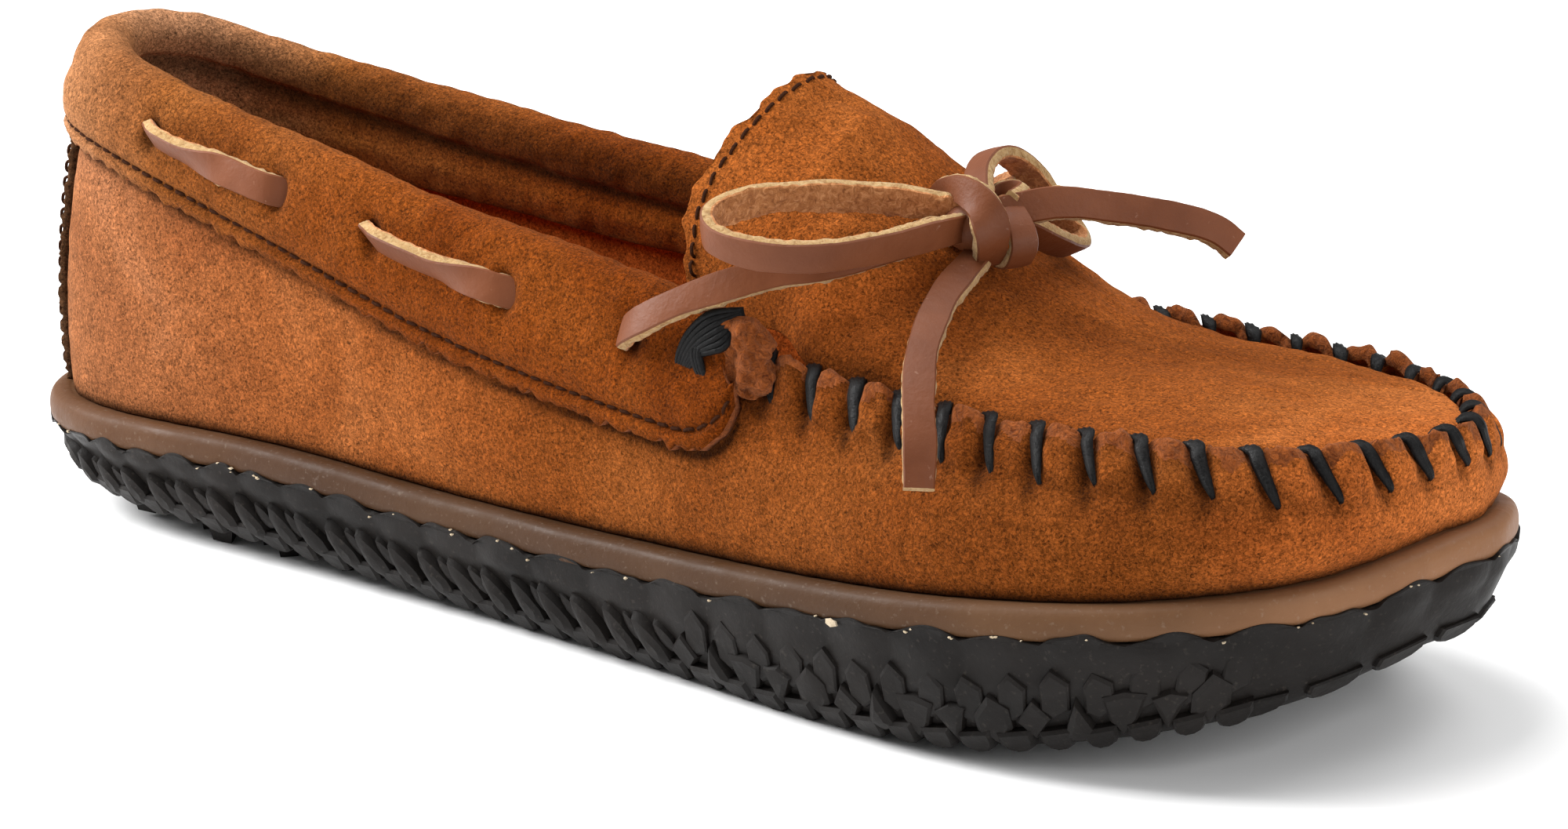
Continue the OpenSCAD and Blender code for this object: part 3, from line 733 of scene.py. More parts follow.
def make_lace():
    make_knot()
    free_lace("lace_strand_lateral", STRAND_LATERAL, [[0, 0.45, 0.9], [0, 0.5, 0.9]],
              "medium", "taut", "knot", seed=3)
    free_lace("lace_strand_medial", STRAND_MEDIAL, [[0, -0.4, 1], [1, -0.5, 0.2]], "medium",
              "taut", "knot", seed=4, faces_up=False)
    free_lace("bow_loop_lateral", LOOP_LATERAL, [[0.1, -0.25, 1], [0.1, -0.25, 1]], "stiff",
              "loose", "knot", seed=5)
    free_lace("bow_loop_medial", LOOP_MEDIAL, [[1, -0.3, 0.3], [1, 0.3, 0.6]], "stiff",
              "loose", "knot", seed=6, faces_up=False)
    free_lace("lace_tail_front", TAIL_FRONT, [[0, 0.45, 0.9], [-0.1, 0.7, 0.75]], "stiff",
              "loose", "bare", seed=7)
    free_lace("lace_tail_hanging", TAIL_HANGING, [[0.8, 0.6, 0], [0.8, 0.6, 0]], "stiff",
              "hanging", "bare", seed=8)


make_lace()


# ---------------------------------------------------------------- suede upper

# Counts at which the apron seam and its first stitch begin on the lateral side
SEAM_START = 5.62
STITCH_FIRST = 5.78
STITCH_COUNT = 29
SEAM_U = np.linspace(STITCH_FIRST, COUNT - STITCH_FIRST, 801)
SEAM_S = distances(rim(SEAM_U))
STITCH_PITCH = SEAM_S[-1] / (STITCH_COUNT - 1)


def stitch_phase(u):
    """Whole numbers at the whip stitches of the apron seam, halves between them."""
    return np.interp(u, SEAM_U, SEAM_S) / STITCH_PITCH


def seam_share(u):
    """1 where the apron seam runs, fading to 0 at its two ends."""
    return smooth_step(u, SEAM_START, SEAM_START + 0.2) * smooth_step(
        COUNT - u, SEAM_START, SEAM_START + 0.2)


def pucker(u, below):
    """(out, up): how far the gathered suede puffs out between stitches, at a distance
    below the seam in mm, and how much its edge rises."""
    phase = stitch_phase(u)
    share = seam_share(u) * (1 + 0.2 * np.sin(phase * 2.4 + 1.0) * np.sin(phase * 0.9))
    near = np.abs(np.cos(math.pi * phase))
    pad = 1 - near ** 5
    out = share * (1.4 * pad * smooth_step(-below, -7.5, -3.5)
                   - 0.9 * (1 - pad) * bell(below, 4.5, 2.6)
                   - 0.15 * near ** 2 * np.exp(-((below - 9) / 4) ** 2))
    rise = share * (1.1 * pad + 0.1) * np.exp(-(below / 2.6) ** 2)
    return out, rise


def wall_height(u):
    return np.linalg.norm(wall(u, 1.0) - wall(u, 0.0), axis=-1)


def body_surface(u, t, off):
    """Outer (off 0) or inner face of the body, with its puckers and slight unevenness."""
    base = wall(u, t)
    normal = wall_normal(u, t)
    below = (1 - t) * wall_height(u)
    out, rise = pucker(u, below)
    soft = 0.35 * waves(base, 26, 11) * smooth_step(t, 0.0, 0.25)
    rough = 0.10 * waves(base, 2.2, 12, 24) * (0.5 + 1.8 * bell(below, 1.5, 5))
    keep = 1.0 if off == 0 else 0.65
    shift = off + keep * (out + soft + rough)
    return base + normal * shift[..., None] + UP * (rise * keep)[..., None]


def make_body():
    """The vamp and sides in one sheet, gathered under the apron seam."""
    columns = 1260
    u = np.linspace(0, COUNT, columns, endpoint=False)
    t = np.concatenate([np.linspace(0, 0.7, 22, endpoint=False), np.linspace(0.7, 1, 30)])
    uu, tt = np.meshgrid(u, t)
    outer = body_surface(uu, tt, 0)
    inner = body_surface(uu, tt, -SUEDE_THICK)
    inner[0] = edge(u, WALL_INSET + SUEDE_THICK, top_z(u) + GAP + SUEDE_THICK)
    # The cut upper edge is rough where it shows along the seam
    on = seam_share(u)
    crest = 0.5 * (outer[-1] + inner[-1]) + UP * 0.5
    ragged = crest + (outward(u) * (0.35 * waves(crest, 1.3, 21, 24))[:, None]
                      + UP * (0.35 * waves(crest, 1.1, 22, 24))[:, None]) * on[:, None]
    levels = len(t)
    points = joined(outer, ragged, inner[::-1])
    rings = 2 * levels + 1
    faces = grid_faces(rings, columns, wrap_columns=True)
    faces += floor_faces(0, columns, False)
    faces += floor_faces((rings - 1) * columns, columns, True)
    height = wall_height(u)
    below = (1 - tt) * height
    # Painted shade on the wall: in the gathers under each stitch, in the grooves under the
    # pads, along the seam's top edge and on the inner face. The band at the wall's foot is
    # partly painted contact shadow and partly dirt
    stitch = np.abs(np.cos(math.pi * stitch_phase(uu))) ** 10
    gather = on * stitch * (bell(below, 3.5, 3.0) + 0.6 * bell(below, 7.6, 1.8))
    foot = np.exp(-(tt * height / 1.5) ** 2)
    # Painted shade: the side of the forefoot faces away from the light and is darker
    forefoot_shade = smooth_step(outer[..., 0], -45, 30) * (1 - smooth_step(outer[..., 0], 106, 130))
    tone = (-0.75 * gather - 0.6 * foot - 0.35 * on * bell(below, 0, 1.6) - 0.33 * forefoot_shade
            - 0.2 * on * (1 - stitch) * bell(below, 6.4, 1.4))
    # The cuff's low edge throws a thin dark line on the wall
    fold = np.minimum(uu, COUNT - uu)
    under_cuff = (tt - cuff_low(np.minimum(fold, CORNER_END))) * height
    tone = tone - 0.95 * np.exp(-((under_cuff + 0.9) / 1.0) ** 2) * (fold < CORNER_END)
    tones = np.concatenate([tone.ravel(), -0.7 * on, np.full(tt.size, -0.3)])
    index = np.zeros(len(faces), int)
    index[levels * columns:] = 2
    index[(levels - 1) * columns:(levels + 1) * columns] = 1
    # Along the seam the raw edge also shows at the top of each gathered pad
    raw = (below < 1.3 + 0.5 * waves(outer, 2.5, 23)) & (on > 0.5)
    index[:(levels - 1) * columns] = raw[1:].ravel()
    add_mesh("suede_body", points, faces, [SUEDE, RAW_EDGE, SUEDE_INSIDE],
             stands_for=("moccasin_body",), face_materials=index, tone=tones)


# The apron runs on into the tongue as one sheet; each row of it goes over the foot from
# the lateral to the medial side. Rows are given from the tongue's free edge to the toe.
TONGUE_LOW = np.array([[31.5, -26, 57.5], [31.5, 31, 57.5]])
TONGUE_HIGH = np.array([[11, -22.5, 58.5], [12.5, 26.5, 58.5]])
SEAM_GAP = 1.4
APRON_COUNTS = [6.0, 6.5, 7.0, 7.5, 8.0, 8.5, 9.0, 9.5, 10.0, 10.3]
APRON_CROWN = [23.5, 12.3, 6.0, 4.2, 3.1, 2.3, 1.6, 1.0, 0.6, 0.4]
APRON_POWER = [0.66, 0.8, 0.9, 0.9, 0.9, 0.9, 0.9, 0.9, 0.9, 0.9]


def apron_rows():
    """Left end, right end, crown, lean and power of each row."""
    rows = []
    for q in (1.0, 0.66, 0.33, 0.0):
        left = TONGUE_LOW[0] * (1 - q) + TONGUE_HIGH[0] * q
        right = TONGUE_LOW[1] * (1 - q) + TONGUE_HIGH[1] * q
        rows.append([*left, *right, 28.6 + 6.4 * q, q, 0.62])
    for u, crown, power in zip(APRON_COUNTS, APRON_CROWN, APRON_POWER):
        left = rim(u) - outward(u) * SEAM_GAP
        right = rim(COUNT - u) - outward(COUNT - u) * SEAM_GAP
        rows.append([*left, *right, crown, 0, power])
    return np.array(rows)


APRON_ROWS = apron_rows()
APRON_LAST = len(APRON_ROWS) - 1.0


# How far the tongue's free edge reaches forward of its ends, against the share of the
# crown's height: back over its sides, forward at its top
LEAN_SHARE = [0, 0.17, 0.42, 0.65, 0.84, 0.96, 1]
LEAN_REACH = [0, -2.5, -3.8, -2.1, 1.2, 3.7, 5]


def apron_point(v, s):
    """Point of the apron's upper face: v counts the rows, s runs across from 0 to 1."""
    row = along(APRON_ROWS, v)
    s = s[..., None]
    p = row[..., :3] * (1 - s) + row[..., 3:6] * s
    c = np.clip(1 - (2 * s - 1) ** 2, 0, 1) ** row[..., 8:9]
    p = p + UP * row[..., 6:7] * c
    p[..., 0] += row[..., 7] * np.interp(c[..., 0], LEAN_SHARE, LEAN_REACH)
    return p


def ease(s):
    return (1 - np.cos(math.pi * s)) / 2


def apron_details(p):
    """Shallow dents and folds of the suede, which has seen wear."""
    soft = 0.4 * waves(p, 24, 31) + 0.12 * waves(p, 6, 32)
    rough = 0.07 * waves(p, 2.0, 33, 24)
    # It dips where the lace presses it, beside the lateral throat
    dent = -1.3 * bell(p[..., 0], 44, 7) * bell(p[..., 1], -25, 5)
    fold = 0.6 * bell(p[..., 0] - 0.35 * p[..., 1], 62, 4) * bell(p[..., 1], -24, 8)
    return soft + rough + dent + fold


def make_apron():
    """The apron and the tongue as one sheet that bends at the tongue's hinge."""
    rows, columns = 250, 200
    v, s = np.meshgrid(np.linspace(0, APRON_LAST, rows), ease(np.linspace(0, 1, columns)),
                       indexing="ij")
    top = apron_point(v, s)
    normal = grid_normals(top)
    if normal[rows // 2, columns // 2, 2] < 0:
        normal = -normal
    border = np.minimum(s, 1 - s) * 60
    keep = smooth_step(border, 0, 4)
    top = top + normal * (apron_details(top) * keep)[..., None]
    seam = smooth_step(v, 3.6, 4.6)
    tucked = np.maximum(np.exp(-(border / 2.1) ** 2), np.exp(-((APRON_LAST - v) / 0.16) ** 2))
    top = top - UP * (1.7 * seam * tucked)[..., None]
    # The free edge of the tongue is cut slightly unevenly
    cut = np.exp(-(v / 0.08) ** 2)
    top[..., 0] += cut * 0.35 * waves(top, 2.0, 34, 20)
    under = top - normal * SUEDE_THICK
    # Painted shade where the apron's edges tuck down into the seam, and on its under face
    tone = -0.95 * seam * tucked
    tones = np.concatenate([tone.ravel(), tone.ravel() - 0.3])
    faces = shell_faces(rows, columns)
    index = np.zeros(len(faces), int)
    index[(rows - 1) * (columns - 1):] = 2
    index[2 * (rows - 1) * (columns - 1):] = 1
    obj = add_mesh("apron_and_tongue", joined(top, under), faces,
                   [SUEDE, RAW_EDGE, SUEDE_INSIDE], body=None,
                   stands_for=("apron", "tongue"), face_materials=index, tone=tones)
    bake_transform(obj)


def apron_frame(v, s):
    """Point and normal of the apron's upper face."""
    v, s = np.asarray(v, float), np.asarray(s, float)
    e = 0.01
    dv = apron_point(v + e, s) - apron_point(v - e, s)
    ds = apron_point(v, np.clip(s + e, 0, 1)) - apron_point(v, np.clip(s - e, 0, 1))
    n = unit(np.cross(dv, ds))
    return apron_point(v, s), np.where(n[..., 2:3] < 0, -n, n)


def stitch_ribbons(centres, directions, normals, length, width, height, tilt=0.0):
    """Points and faces of short machine stitches that dip into the leather at both ends."""
    k = 9
    w = np.linspace(-1, 1, k)
    tubes = []
    for c, d, n in zip(centres, directions, normals):
        side = unit(np.cross(n, d))
        route = (c + d * (w * length / 2)[:, None] + side * (w * tilt)[:, None]
                 + n * (height * (0.75 - 1.5 * w ** 4))[:, None])
        tubes.append(tube(route, np.broadcast_to(side, (k, 3)), width / 2, height / 2,
                          circle(8)))
    return bundle(tubes)


def stitch_places(line, directions, normals, end, pitch):
    """Points, directions and normals of evenly spaced stitches along a line, from one
    distance off its start to the same distance off its end."""
    gone = distances(line)
    places = np.linspace(end, gone[-1] - end, int(gone[-1] / pitch))
    return [pick(values, gone, places) for values in (line, directions, normals)]


def make_tongue_details():
    """The tongue's lining and the stitches along its free edge."""
    # Lining under the tongue, a little short of its edges
    rows, columns = 30, 90
    v, s = np.meshgrid(np.linspace(0.1, 2.2, rows), 0.04 + 0.92 * ease(
        np.linspace(0, 1, columns)), indexing="ij")
    p, n = apron_frame(v, s)
    top = p - n * (SUEDE_THICK + 0.3)
    under = top - n * 1.2
    add_mesh("tongue_lining_sheet", joined(top, under), shell_faces(rows, columns),
             SUEDE_INSIDE, body="tongue", stands_for=("tongue_lining",))
    s = ease(np.linspace(0.012, 0.988, 60))
    v = np.full(len(s), 0.36)
    c, n = apron_frame(v, s)
    d = unit(apron_point(v, np.clip(s + 0.01, 0, 1)) - apron_point(v, np.clip(s - 0.01, 0, 1)))
    line, ahead, out = stitch_places(c, d, n, 3, 3.1)
    out = unit(out)
    line = line + out * (apron_details(line) - 0.12)[:, None]
    points, faces = stitch_ribbons(line, unit(ahead), out, 2.4, 0.7, 0.45, tilt=0.18)
    add_mesh("tongue_edge_stitches", points, faces, MACHINE, body="tongue",
             stands_for=("tongue_stitching",))


# ---------------------------------------------------------------- collar

# Room between the wall and the cuff at four places from its low edge to the roll's foot,
# and the share of the wall's height at which that foot is
CUFF_ROOM = np.array([GAP, 1.8, 2.4, 2.3])
CUFF_TOP = 0.95
# Key points of the roll, as angles in degrees, and of the leaf that hangs inside: share
# of the wall's height and distance off it
ROLL_ANGLES = (18, 50, 82, 114, 146, 178, 208, 234)
LEAF = ((0.87, -4.3), (0.82, -5.2), (0.76, -5.0), (0.71, -4.2))
# Count that the cuff's low front corner reaches; its rolled top ends sooner
CORNER_END = 5.68
TOP_END = 5.42
# Counts where the lace dips through a slit of the cuff
SLITS = [5.12, 4.44, 3.66, 3.07, 2.29]
COLLAR_STITCH_RISE = 3.2
# Shares of the cuff's rows that are outside the roll, and at which the roll meets the leaf
OUTER_LEVEL = 0.42
CREASE_LEVEL = 0.745


def cuff_low(u):
    """Share of the wall's height at the cuff's low edge, with a rounded front corner."""
    c = np.clip((np.abs(u) - CORNER_END + 0.32) / 0.32, 0, 1)
    return at(COLLAR_LOW, u) + 0.27 * (1 - np.sqrt(1 - c * c))


def roll_point(u, angle, radius):
    """Point of the padded roll over the rim, at an angle in radians from level."""
    n = outward(u)
    return (rim(u) - n * SUEDE_THICK / 2 + n * (radius * math.cos(angle))
            + UP * (radius * math.sin(angle) + 0.5))


def cuff_outline(u, inside):
    """Key points of the cuff's section at each count, from its low outer edge over the
    padded roll to the edge tucked inside; inside is the leather's thickness or 0."""
    low = cuff_low(u)
    keys = [skin(u, low + (CUFF_TOP - low) * j / 3, room + SUEDE_THICK - inside)
            for j, room in enumerate(CUFF_ROOM)]
    keys += [roll_point(u, math.radians(angle), COLLAR_ROLL - inside) for angle in ROLL_ANGLES]
    # Under the roll the leather turns back to the wall, and a leaf hangs down inside
    keys += [skin(u, t, off + inside) for t, off in LEAF]
    return np.stack(keys, 0)


def slit_dip(u, along_mm):
    """Depth to which the cuff is drawn in at the lace's slits."""
    dip = np.zeros(np.broadcast(u, along_mm).shape)
    for slit in SLITS:
        gap_mm = (np.abs(u) - slit) * 36
        dip += bell(gap_mm, 0, 1.8) * bell(along_mm, 0, 3.0)
    return dip


def make_collar():
    """The collar's cuff. Returns its outer points, normals and distance from the low edge."""
    columns, rows = 760, 110
    u = np.linspace(-CORNER_END, CORNER_END, columns)
    # The front end of the cuff slants back from its low corner to the roll
    reach = np.interp(np.linspace(0, 1, rows), [0, 0.09, 0.36, 1], [1, 1, 0, 0])
    end = TOP_END + (CORNER_END - TOP_END) * reach
    share = smooth_step(np.abs(u), 4.9, CORNER_END)
    uu = u - np.sign(u) * (CORNER_END - end)[:, None] * share
    grids = []
    for inside in (0.0, SUEDE_THICK):
        keys = cuff_outline(u, inside)
        w = np.linspace(0, len(keys) - 1, rows)
        grid = np.stack([along(keys[:, i], w) for i in range(columns)], 1)
        grids.append(np.stack([pick(row, u, row_u) for row_u, row in zip(uu, grid)]))
    outer, inner = grids
    normal = unit(outer - inner)
    level = np.linspace(0, 1, rows)[:, None] * np.ones(columns)
    # Distance up the cuff from its low edge, and from the lace's line
    gone = np.concatenate([np.zeros((1, columns)),
                           np.cumsum(np.linalg.norm(np.diff(outer, axis=0), axis=2), axis=0)])
    to_lace = outer[..., 2] - skin(uu, lace_height(uu), 4.0)[..., 2]
    dip = slit_dip(uu, to_lace) * (level < OUTER_LEVEL)
    groove = bell(gone, COLLAR_STITCH_RISE, 0.75) * 0.95
    # Between the stitches and its raw edge the cuff is a soft thick flange
    pressed = 0.65 * bell(gone, 1.5, 1.2)
    puff = 0.5 * bell(gone, COLLAR_STITCH_RISE + 5, 4)
    front = np.exp(-((CORNER_END - np.abs(u)) / 0.12) ** 2)[None, :]
    soft = 0.22 * waves(outer, 30, 41) + 0.06 * waves(outer, 9, 42)
    rough = 0.08 * waves(outer, 2.0, 43, 24)
    move = (soft * smooth_step(gone, 0, 6) + rough + puff + pressed - groove - 2.2 * dip
            ) * (1 - 0.7 * front)
    ragged = np.exp(-(gone / 0.7) ** 2)
    outer = outer + normal * move[..., None]
    inner = inner + normal * (np.minimum(move, 0.4) * 0.8)[..., None]
    drop = UP * (0.3 * waves(outer[:1], 1.6, 44, 24) * ragged)[..., None]
    outer, inner = outer + drop, inner + drop
    # Painted shade: the medial side of the roll, away from the light, is darker
    far = smooth_step(outer[..., 1], 5, 20) * bell(level, 0.58, 0.13)
    # Painted shade at the lace slits, in the stitch groove, in the crease under the roll, at
    # the leaf's lower end and on the under face; painted light makes the flange and the leaf
    # lighter. The cuff is also a little lighter at the roll's foot and darker along its low cut
    # edge
    crease = bell(level, CREASE_LEVEL, 0.035)
    tone = (-0.9 * dip - 0.4 * bell(gone, COLLAR_STITCH_RISE, 0.7) - 0.8 * crease
            + 0.12 * bell(level, 0.4, 0.1) - 0.6 * far + 0.25 * bell(gone, 1.6, 0.9)
            + 0.4 * bell(level, 0.88, 0.1)
            - 0.3 * np.exp(-(gone / 0.5) ** 2) - 0.6 * smooth_step(level, 0.93, 1.0))
    faces = shell_faces(rows, columns)
    quads = (rows - 1) * (columns - 1)
    index = np.zeros(len(faces), int)
    index[quads:2 * quads] = 2
    index[2 * quads:] = 1
    tones = np.concatenate([tone.ravel(), np.full(tone.size, -0.4)])
    obj = add_mesh("collar_cuff", joined(outer, inner), faces,
                   [SUEDE_COLLAR, RAW_EDGE, SUEDE_INSIDE],
                   stands_for=("collar",), face_materials=index, tone=tones)
    return outer, normal, gone


def make_collar_stitches(outer, normal, gone):
    """A row of stitches at one distance from the cuff's low edge."""
    line, out = [], []
    for i in range(outer.shape[1]):
        row = np.interp(COLLAR_STITCH_RISE, gone[:, i], np.arange(len(gone)))
        k = int(row)
        line.append(outer[k, i] * (k + 1 - row) + outer[k + 1, i] * (row - k))
        out.append(normal[k, i])
    line, out = np.array(line), np.array(out)
    line, ahead, out = stitch_places(line, np.gradient(line, axis=0), out, 4, 2.9)
    points, faces = stitch_ribbons(line - out * 0.1, unit(ahead), unit(out), 2.4, 0.6, 0.5,
                                   tilt=0.1)
    add_mesh("collar_edge_stitches", points, faces, MACHINE,
             stands_for=("collar_stitching",))


# Distances of the lace off the wall: in a slit, and hidden under the cuff
SLIT_OFF, HIDDEN_OFF = 3.0, 1.35


def lace_height(u):
    """Share of the wall's height at which the lace runs, higher towards the heel."""
    return np.interp(np.abs(u), [2.2, 3.1, 3.6, 4.5], [0.925, 0.91, 0.9, 0.88])


def make_collar_lace():
    """The lace as it shows between its slits on both sides of the cuff."""
    hidden = HIDDEN_OFF
    half = [
        [4.78, hidden], [4.7, hidden], [4.58, hidden], [4.49, 2.0], [4.44, SLIT_OFF],
        [4.39, 4.3], [4.32, 5.0], [4.2, 5.3], [4.04, 5.4], [3.88, 5.3], [3.77, 5.0],
        [3.71, 4.3], [3.66, SLIT_OFF], [3.61, 2.0], [3.54, hidden], [3.2, hidden],
        [3.11, 2.0], [3.07, SLIT_OFF], [3.03, 4.3], [2.96, 5.0], [2.83, 5.3], [2.66, 5.4],
        [2.52, 5.3], [2.4, 5.0], [2.34, 4.3], [2.29, SLIT_OFF], [2.25, 2.0], [2.18, hidden],
        [1.6, hidden], [1, hidden], [0.5, hidden]]
    keys = half + [[0, hidden]] + [[-u, off] for u, off in half[::-1]]
    u, off = np.array(keys).T
    height = lace_height(u)
    route = skin(u, height, off)
    across = unit(skin(u, height + 0.02, off) - skin(u, height - 0.02, off))
    # Between its slits the lace leans out at its top, so that its cut edge shows
    across = across + outward(u) * (0.95 * smooth_step(off, 3.5, 5.0))[:, None]
    thong("lace_in_collar", route, across, step=1.0, seed=9, faces_up=False,
          stands_for=("lace_collar_run",))


# ---------------------------------------------------------------- heel

def wall_patch(half, low, high, off_out, off_in, columns, rows, rough):
    """Upper and under grid of a sheet along the heel's wall, half its width in counts."""
    u, t = np.meshgrid(np.linspace(-half, half, columns), np.linspace(low, high, rows),
                       indexing="ij")
    top = skin(u, t, off_out)
    top = top + wall_normal(u, t) * (rough * waves(top, 2.0, 51, 24))[..., None]
    return top, skin(u, t, off_in)


# Half width of the strip over the heel seam, and its stitch lines, in counts
STRIP_HALF = 0.8
STRIP_STITCH = 0.68


def make_heel_details():
    """The strip over the heel seam, its stitches, and the lining inside."""
    columns, rows = 60, 110
    top, under = wall_patch(STRIP_HALF, 0.0, 0.775, GAP + 1.3, GAP - 0.4, columns, rows, 0.08)
    # Loose fibres give the strip's dark cut edges an uneven outline
    from_edge = np.minimum(np.arange(columns), np.arange(columns)[::-1])[:, None]
    move = (np.exp(-(from_edge / 1.5) ** 2) * 0.2 * waves(top, 0.9, 52, 30))[..., None]
    move = move * np.array([0.9, 0.8, 0.2])
    top, under = top + move, under + move
    # The strip's edges are darker: partly the dark cut suede and partly painted shade where the
    # strip stands off the wall
    dark = np.repeat(-1.5 * np.exp(-(from_edge / 4.5) ** 2), rows, axis=1).ravel()
    add_mesh("heel_seam_strip", joined(top, under), shell_faces(columns, rows), SUEDE_COLLAR,
             stands_for=("heel_strip",), tone=np.concatenate([dark, dark]))
    u, t = np.meshgrid([-STRIP_STITCH, STRIP_STITCH], np.linspace(0.06, 0.74, 15),
                       indexing="ij")
    c = skin(u, t, GAP + 1.6)
    points, faces = stitch_ribbons(joined(c), joined(unit(np.gradient(c, axis=1))),
                                   joined(wall_normal(u, t)), 2.3, 0.8, 0.6)
    add_mesh("heel_strip_stitches", points, faces, MACHINE,
             stands_for=("heel_strip_stitching",))
    columns, rows = 120, 40
    top, under = wall_patch(2.6, 0.25, 0.69, -3.65, -4.6, columns, rows, 0.06)
    add_mesh("heel_lining_sheet", joined(top, under), shell_faces(columns, rows), SUEDE_INSIDE,
             stands_for=("heel_lining",))


# ---------------------------------------------------------------- threads of the seam

def whip_route(u, lean, drop, curl):
    """Key points of one stitch: up from under the apron, over the gathered edge, and down
    the wall, where its lower end is further along the seam."""
    n = outward(u)
    ahead = unit(rim(u + 0.02) - rim(u - 0.02))
    c = rim(u)
    height = float(wall_height(u))
    keys = [c - n * 2.6 - ahead * lean * 1.1 + UP * -1.8,
            c - n * 2.1 - ahead * lean * 1.0 + UP * 0.2,
            c - n * 1.0 - ahead * lean * 0.6 + UP * 1.25,
            c + n * 0.5 - ahead * (lean * 0.15 - curl * 0.3) + UP * 1.15]
    # (share of the drop, share of the lean, height over the plain wall)
    for down, along_share, off in ((0.14, 0.1, 1.35), (0.42, 0.35, 0.9), (0.72, 0.7, 0.65),
                                   (0.92, 0.95, 0.25), (1.05, 1.05, -0.9)):
        keys.append(skin(u, 1 - down * drop / height, off) + ahead * lean * along_share)
    return np.array(keys), unit(ahead + UP * 0.25)


def make_whip_stitches():
    """Waxed ribbons that go over the puckered edge, tapering to their lower ends."""
    sides, steps = 16, 34
    rng = np.random.default_rng(61)
    tubes = []
    for i in range(STITCH_COUNT):
        u = float(np.interp(i * STITCH_PITCH, SEAM_S, SEAM_U))
        lean = rng.uniform(1.9, 2.6) * (1 - 0.45 * smooth_step(rim(u)[0], 95, 125))
        drop = rng.uniform(5.4, 6.7)
        curl = rng.uniform(0.1, 0.9)
        keys, across = whip_route(u, lean, drop, curl)
        route = resample(keys, steps)
        w = np.linspace(0, 1, steps)
        half = np.interp(w, [0, 0.2, 0.5, 0.8, 1], [0.85, 1.15, 1.15, 0.75, 0.2])
        half = half * (1 + 0.08 * rng.normal())
        rings = tube(route, np.broadcast_to(across, (steps, 3)), half, half * 0.42,
                     circle(sides))
        # Strands of the waxed thread show as ridges
        ridge = 0.11 * np.cos(np.arange(sides) * math.pi)[None, :, None]
        tubes.append(rings + unit(rings - route[:, None]) * ridge)
    points, faces = bundle(tubes)
    add_mesh("whip_stitches", points, faces, WAXED,
             stands_for=("apron_stitching",))


def make_throat(side):
    """The seam's end on one side: a comma-shaped bundle of threads, one longer stitch, and
    an upright lobe of suede."""
    mirror = 1 if side == "lateral" else -1
    seam_end = SEAM_START if mirror == 1 else COUNT - SEAM_START
    foot = rim(seam_end)
    out = outward(seam_end)
    ahead = unit(rim(seam_end + 0.02) - rim(seam_end - 0.02)) * mirror
    ahead = unit(ahead * [1, 1, 0])

    def place(key):
        """Point from its distances ahead of, outside and above the seam's end."""
        return foot + ahead * key[0] + out * key[1] + UP * key[2]

    strands = [[(2.0, 2.2, 7.4 - 0.2 * i), (-1.6 + 0.5 * i, 5.6, 6.8 - 0.8 * i),
                (-4.9 + 0.7 * i, 6.6, 3.8 - 0.5 * i), (-7.0 + 0.72 * i, 6.8, 0.0),
                (-7.6 + 0.4 * i, 6.6, -3.0), (-7.0 + 0.1 * i, 6.0, -5.6),
                (-6.6, 4.4, -7.0)] for i in range(7)]
    strands += [[(-3.2 + k, 5.6, 3.0), (-3.4 + k, 6.9, 0.6), (-2.6 + k, 7.1, -2.2),
                 (-0.8 + 0.8 * k, 6.8, -5.2), (1.5 + 0.5 * k, 5.6, -7.4), (2.6, 3.8, -8.4)]
                for k in (-0.6, 0.0, 0.6)]
    steps = 24
    half = np.interp(np.linspace(0, 1, steps), [0, 0.25, 0.7, 1], [0.5, 0.62, 0.45, 0.15])
    points, faces = bundle([
        tube(resample([place(key) for key in strand], steps),
             np.broadcast_to(ahead, (steps, 3)), half, half, circle(8)) for strand in strands])
    add_mesh(f"throat_threads_{side}", points, faces, WAXED,
             stands_for=(f"throat_stitching_{side}",))
    # The lobe: a thick rounded fold of suede standing on the seam, cut face towards the toe
    levels, k = 40, 48
    a = np.linspace(0, 2 * math.pi, k, endpoint=False)
    rings = []
    for h in np.linspace(0, 1, levels):
        size = (1 - abs(2 * h - 1) ** 4.5) ** 0.5 * (1.0 - 0.12 * abs(h - 0.3))
        centre = place((3.9 - 2.4 * h, 3.0, -6.8 + 13.4 * h))
        ring = (centre + ahead * (np.cos(a) * 5.7 * size)[:, None]
                + out * (np.sign(np.sin(a)) * np.abs(np.sin(a)) ** 0.8 * 3.0 * size)[:, None])
        cut = smooth_step(np.cos(a), -0.25, 0.0)
        # A shallow fold divides the smooth rim from the cut face
        rim_fold = 0.7 * bell(np.cos(a), -0.55, 0.3) - 0.8 * bell(np.cos(a), -0.1, 0.16)
        ring = ring + unit(ring - centre) * (
            (0.12 + 0.4 * cut) * waves(ring, 1.6, 71, 24) + rim_fold
            + 0.2 * waves(ring, 5, 72))[:, None]
        rings.append(ring)
    cut = [1 if math.cos(2 * math.pi * (j + 0.5) / k) > -0.2 else 0 for j in range(k)]
    add_mesh(f"throat_lobe_{side}", np.array(rings), tube_faces(levels, k),
             [SUEDE_COLLAR, RAW_EDGE], stands_for=(f"throat_tab_{side}",),
             face_materials=cut * (levels - 1) + [0, 0])


# ---------------------------------------------------------------- sole

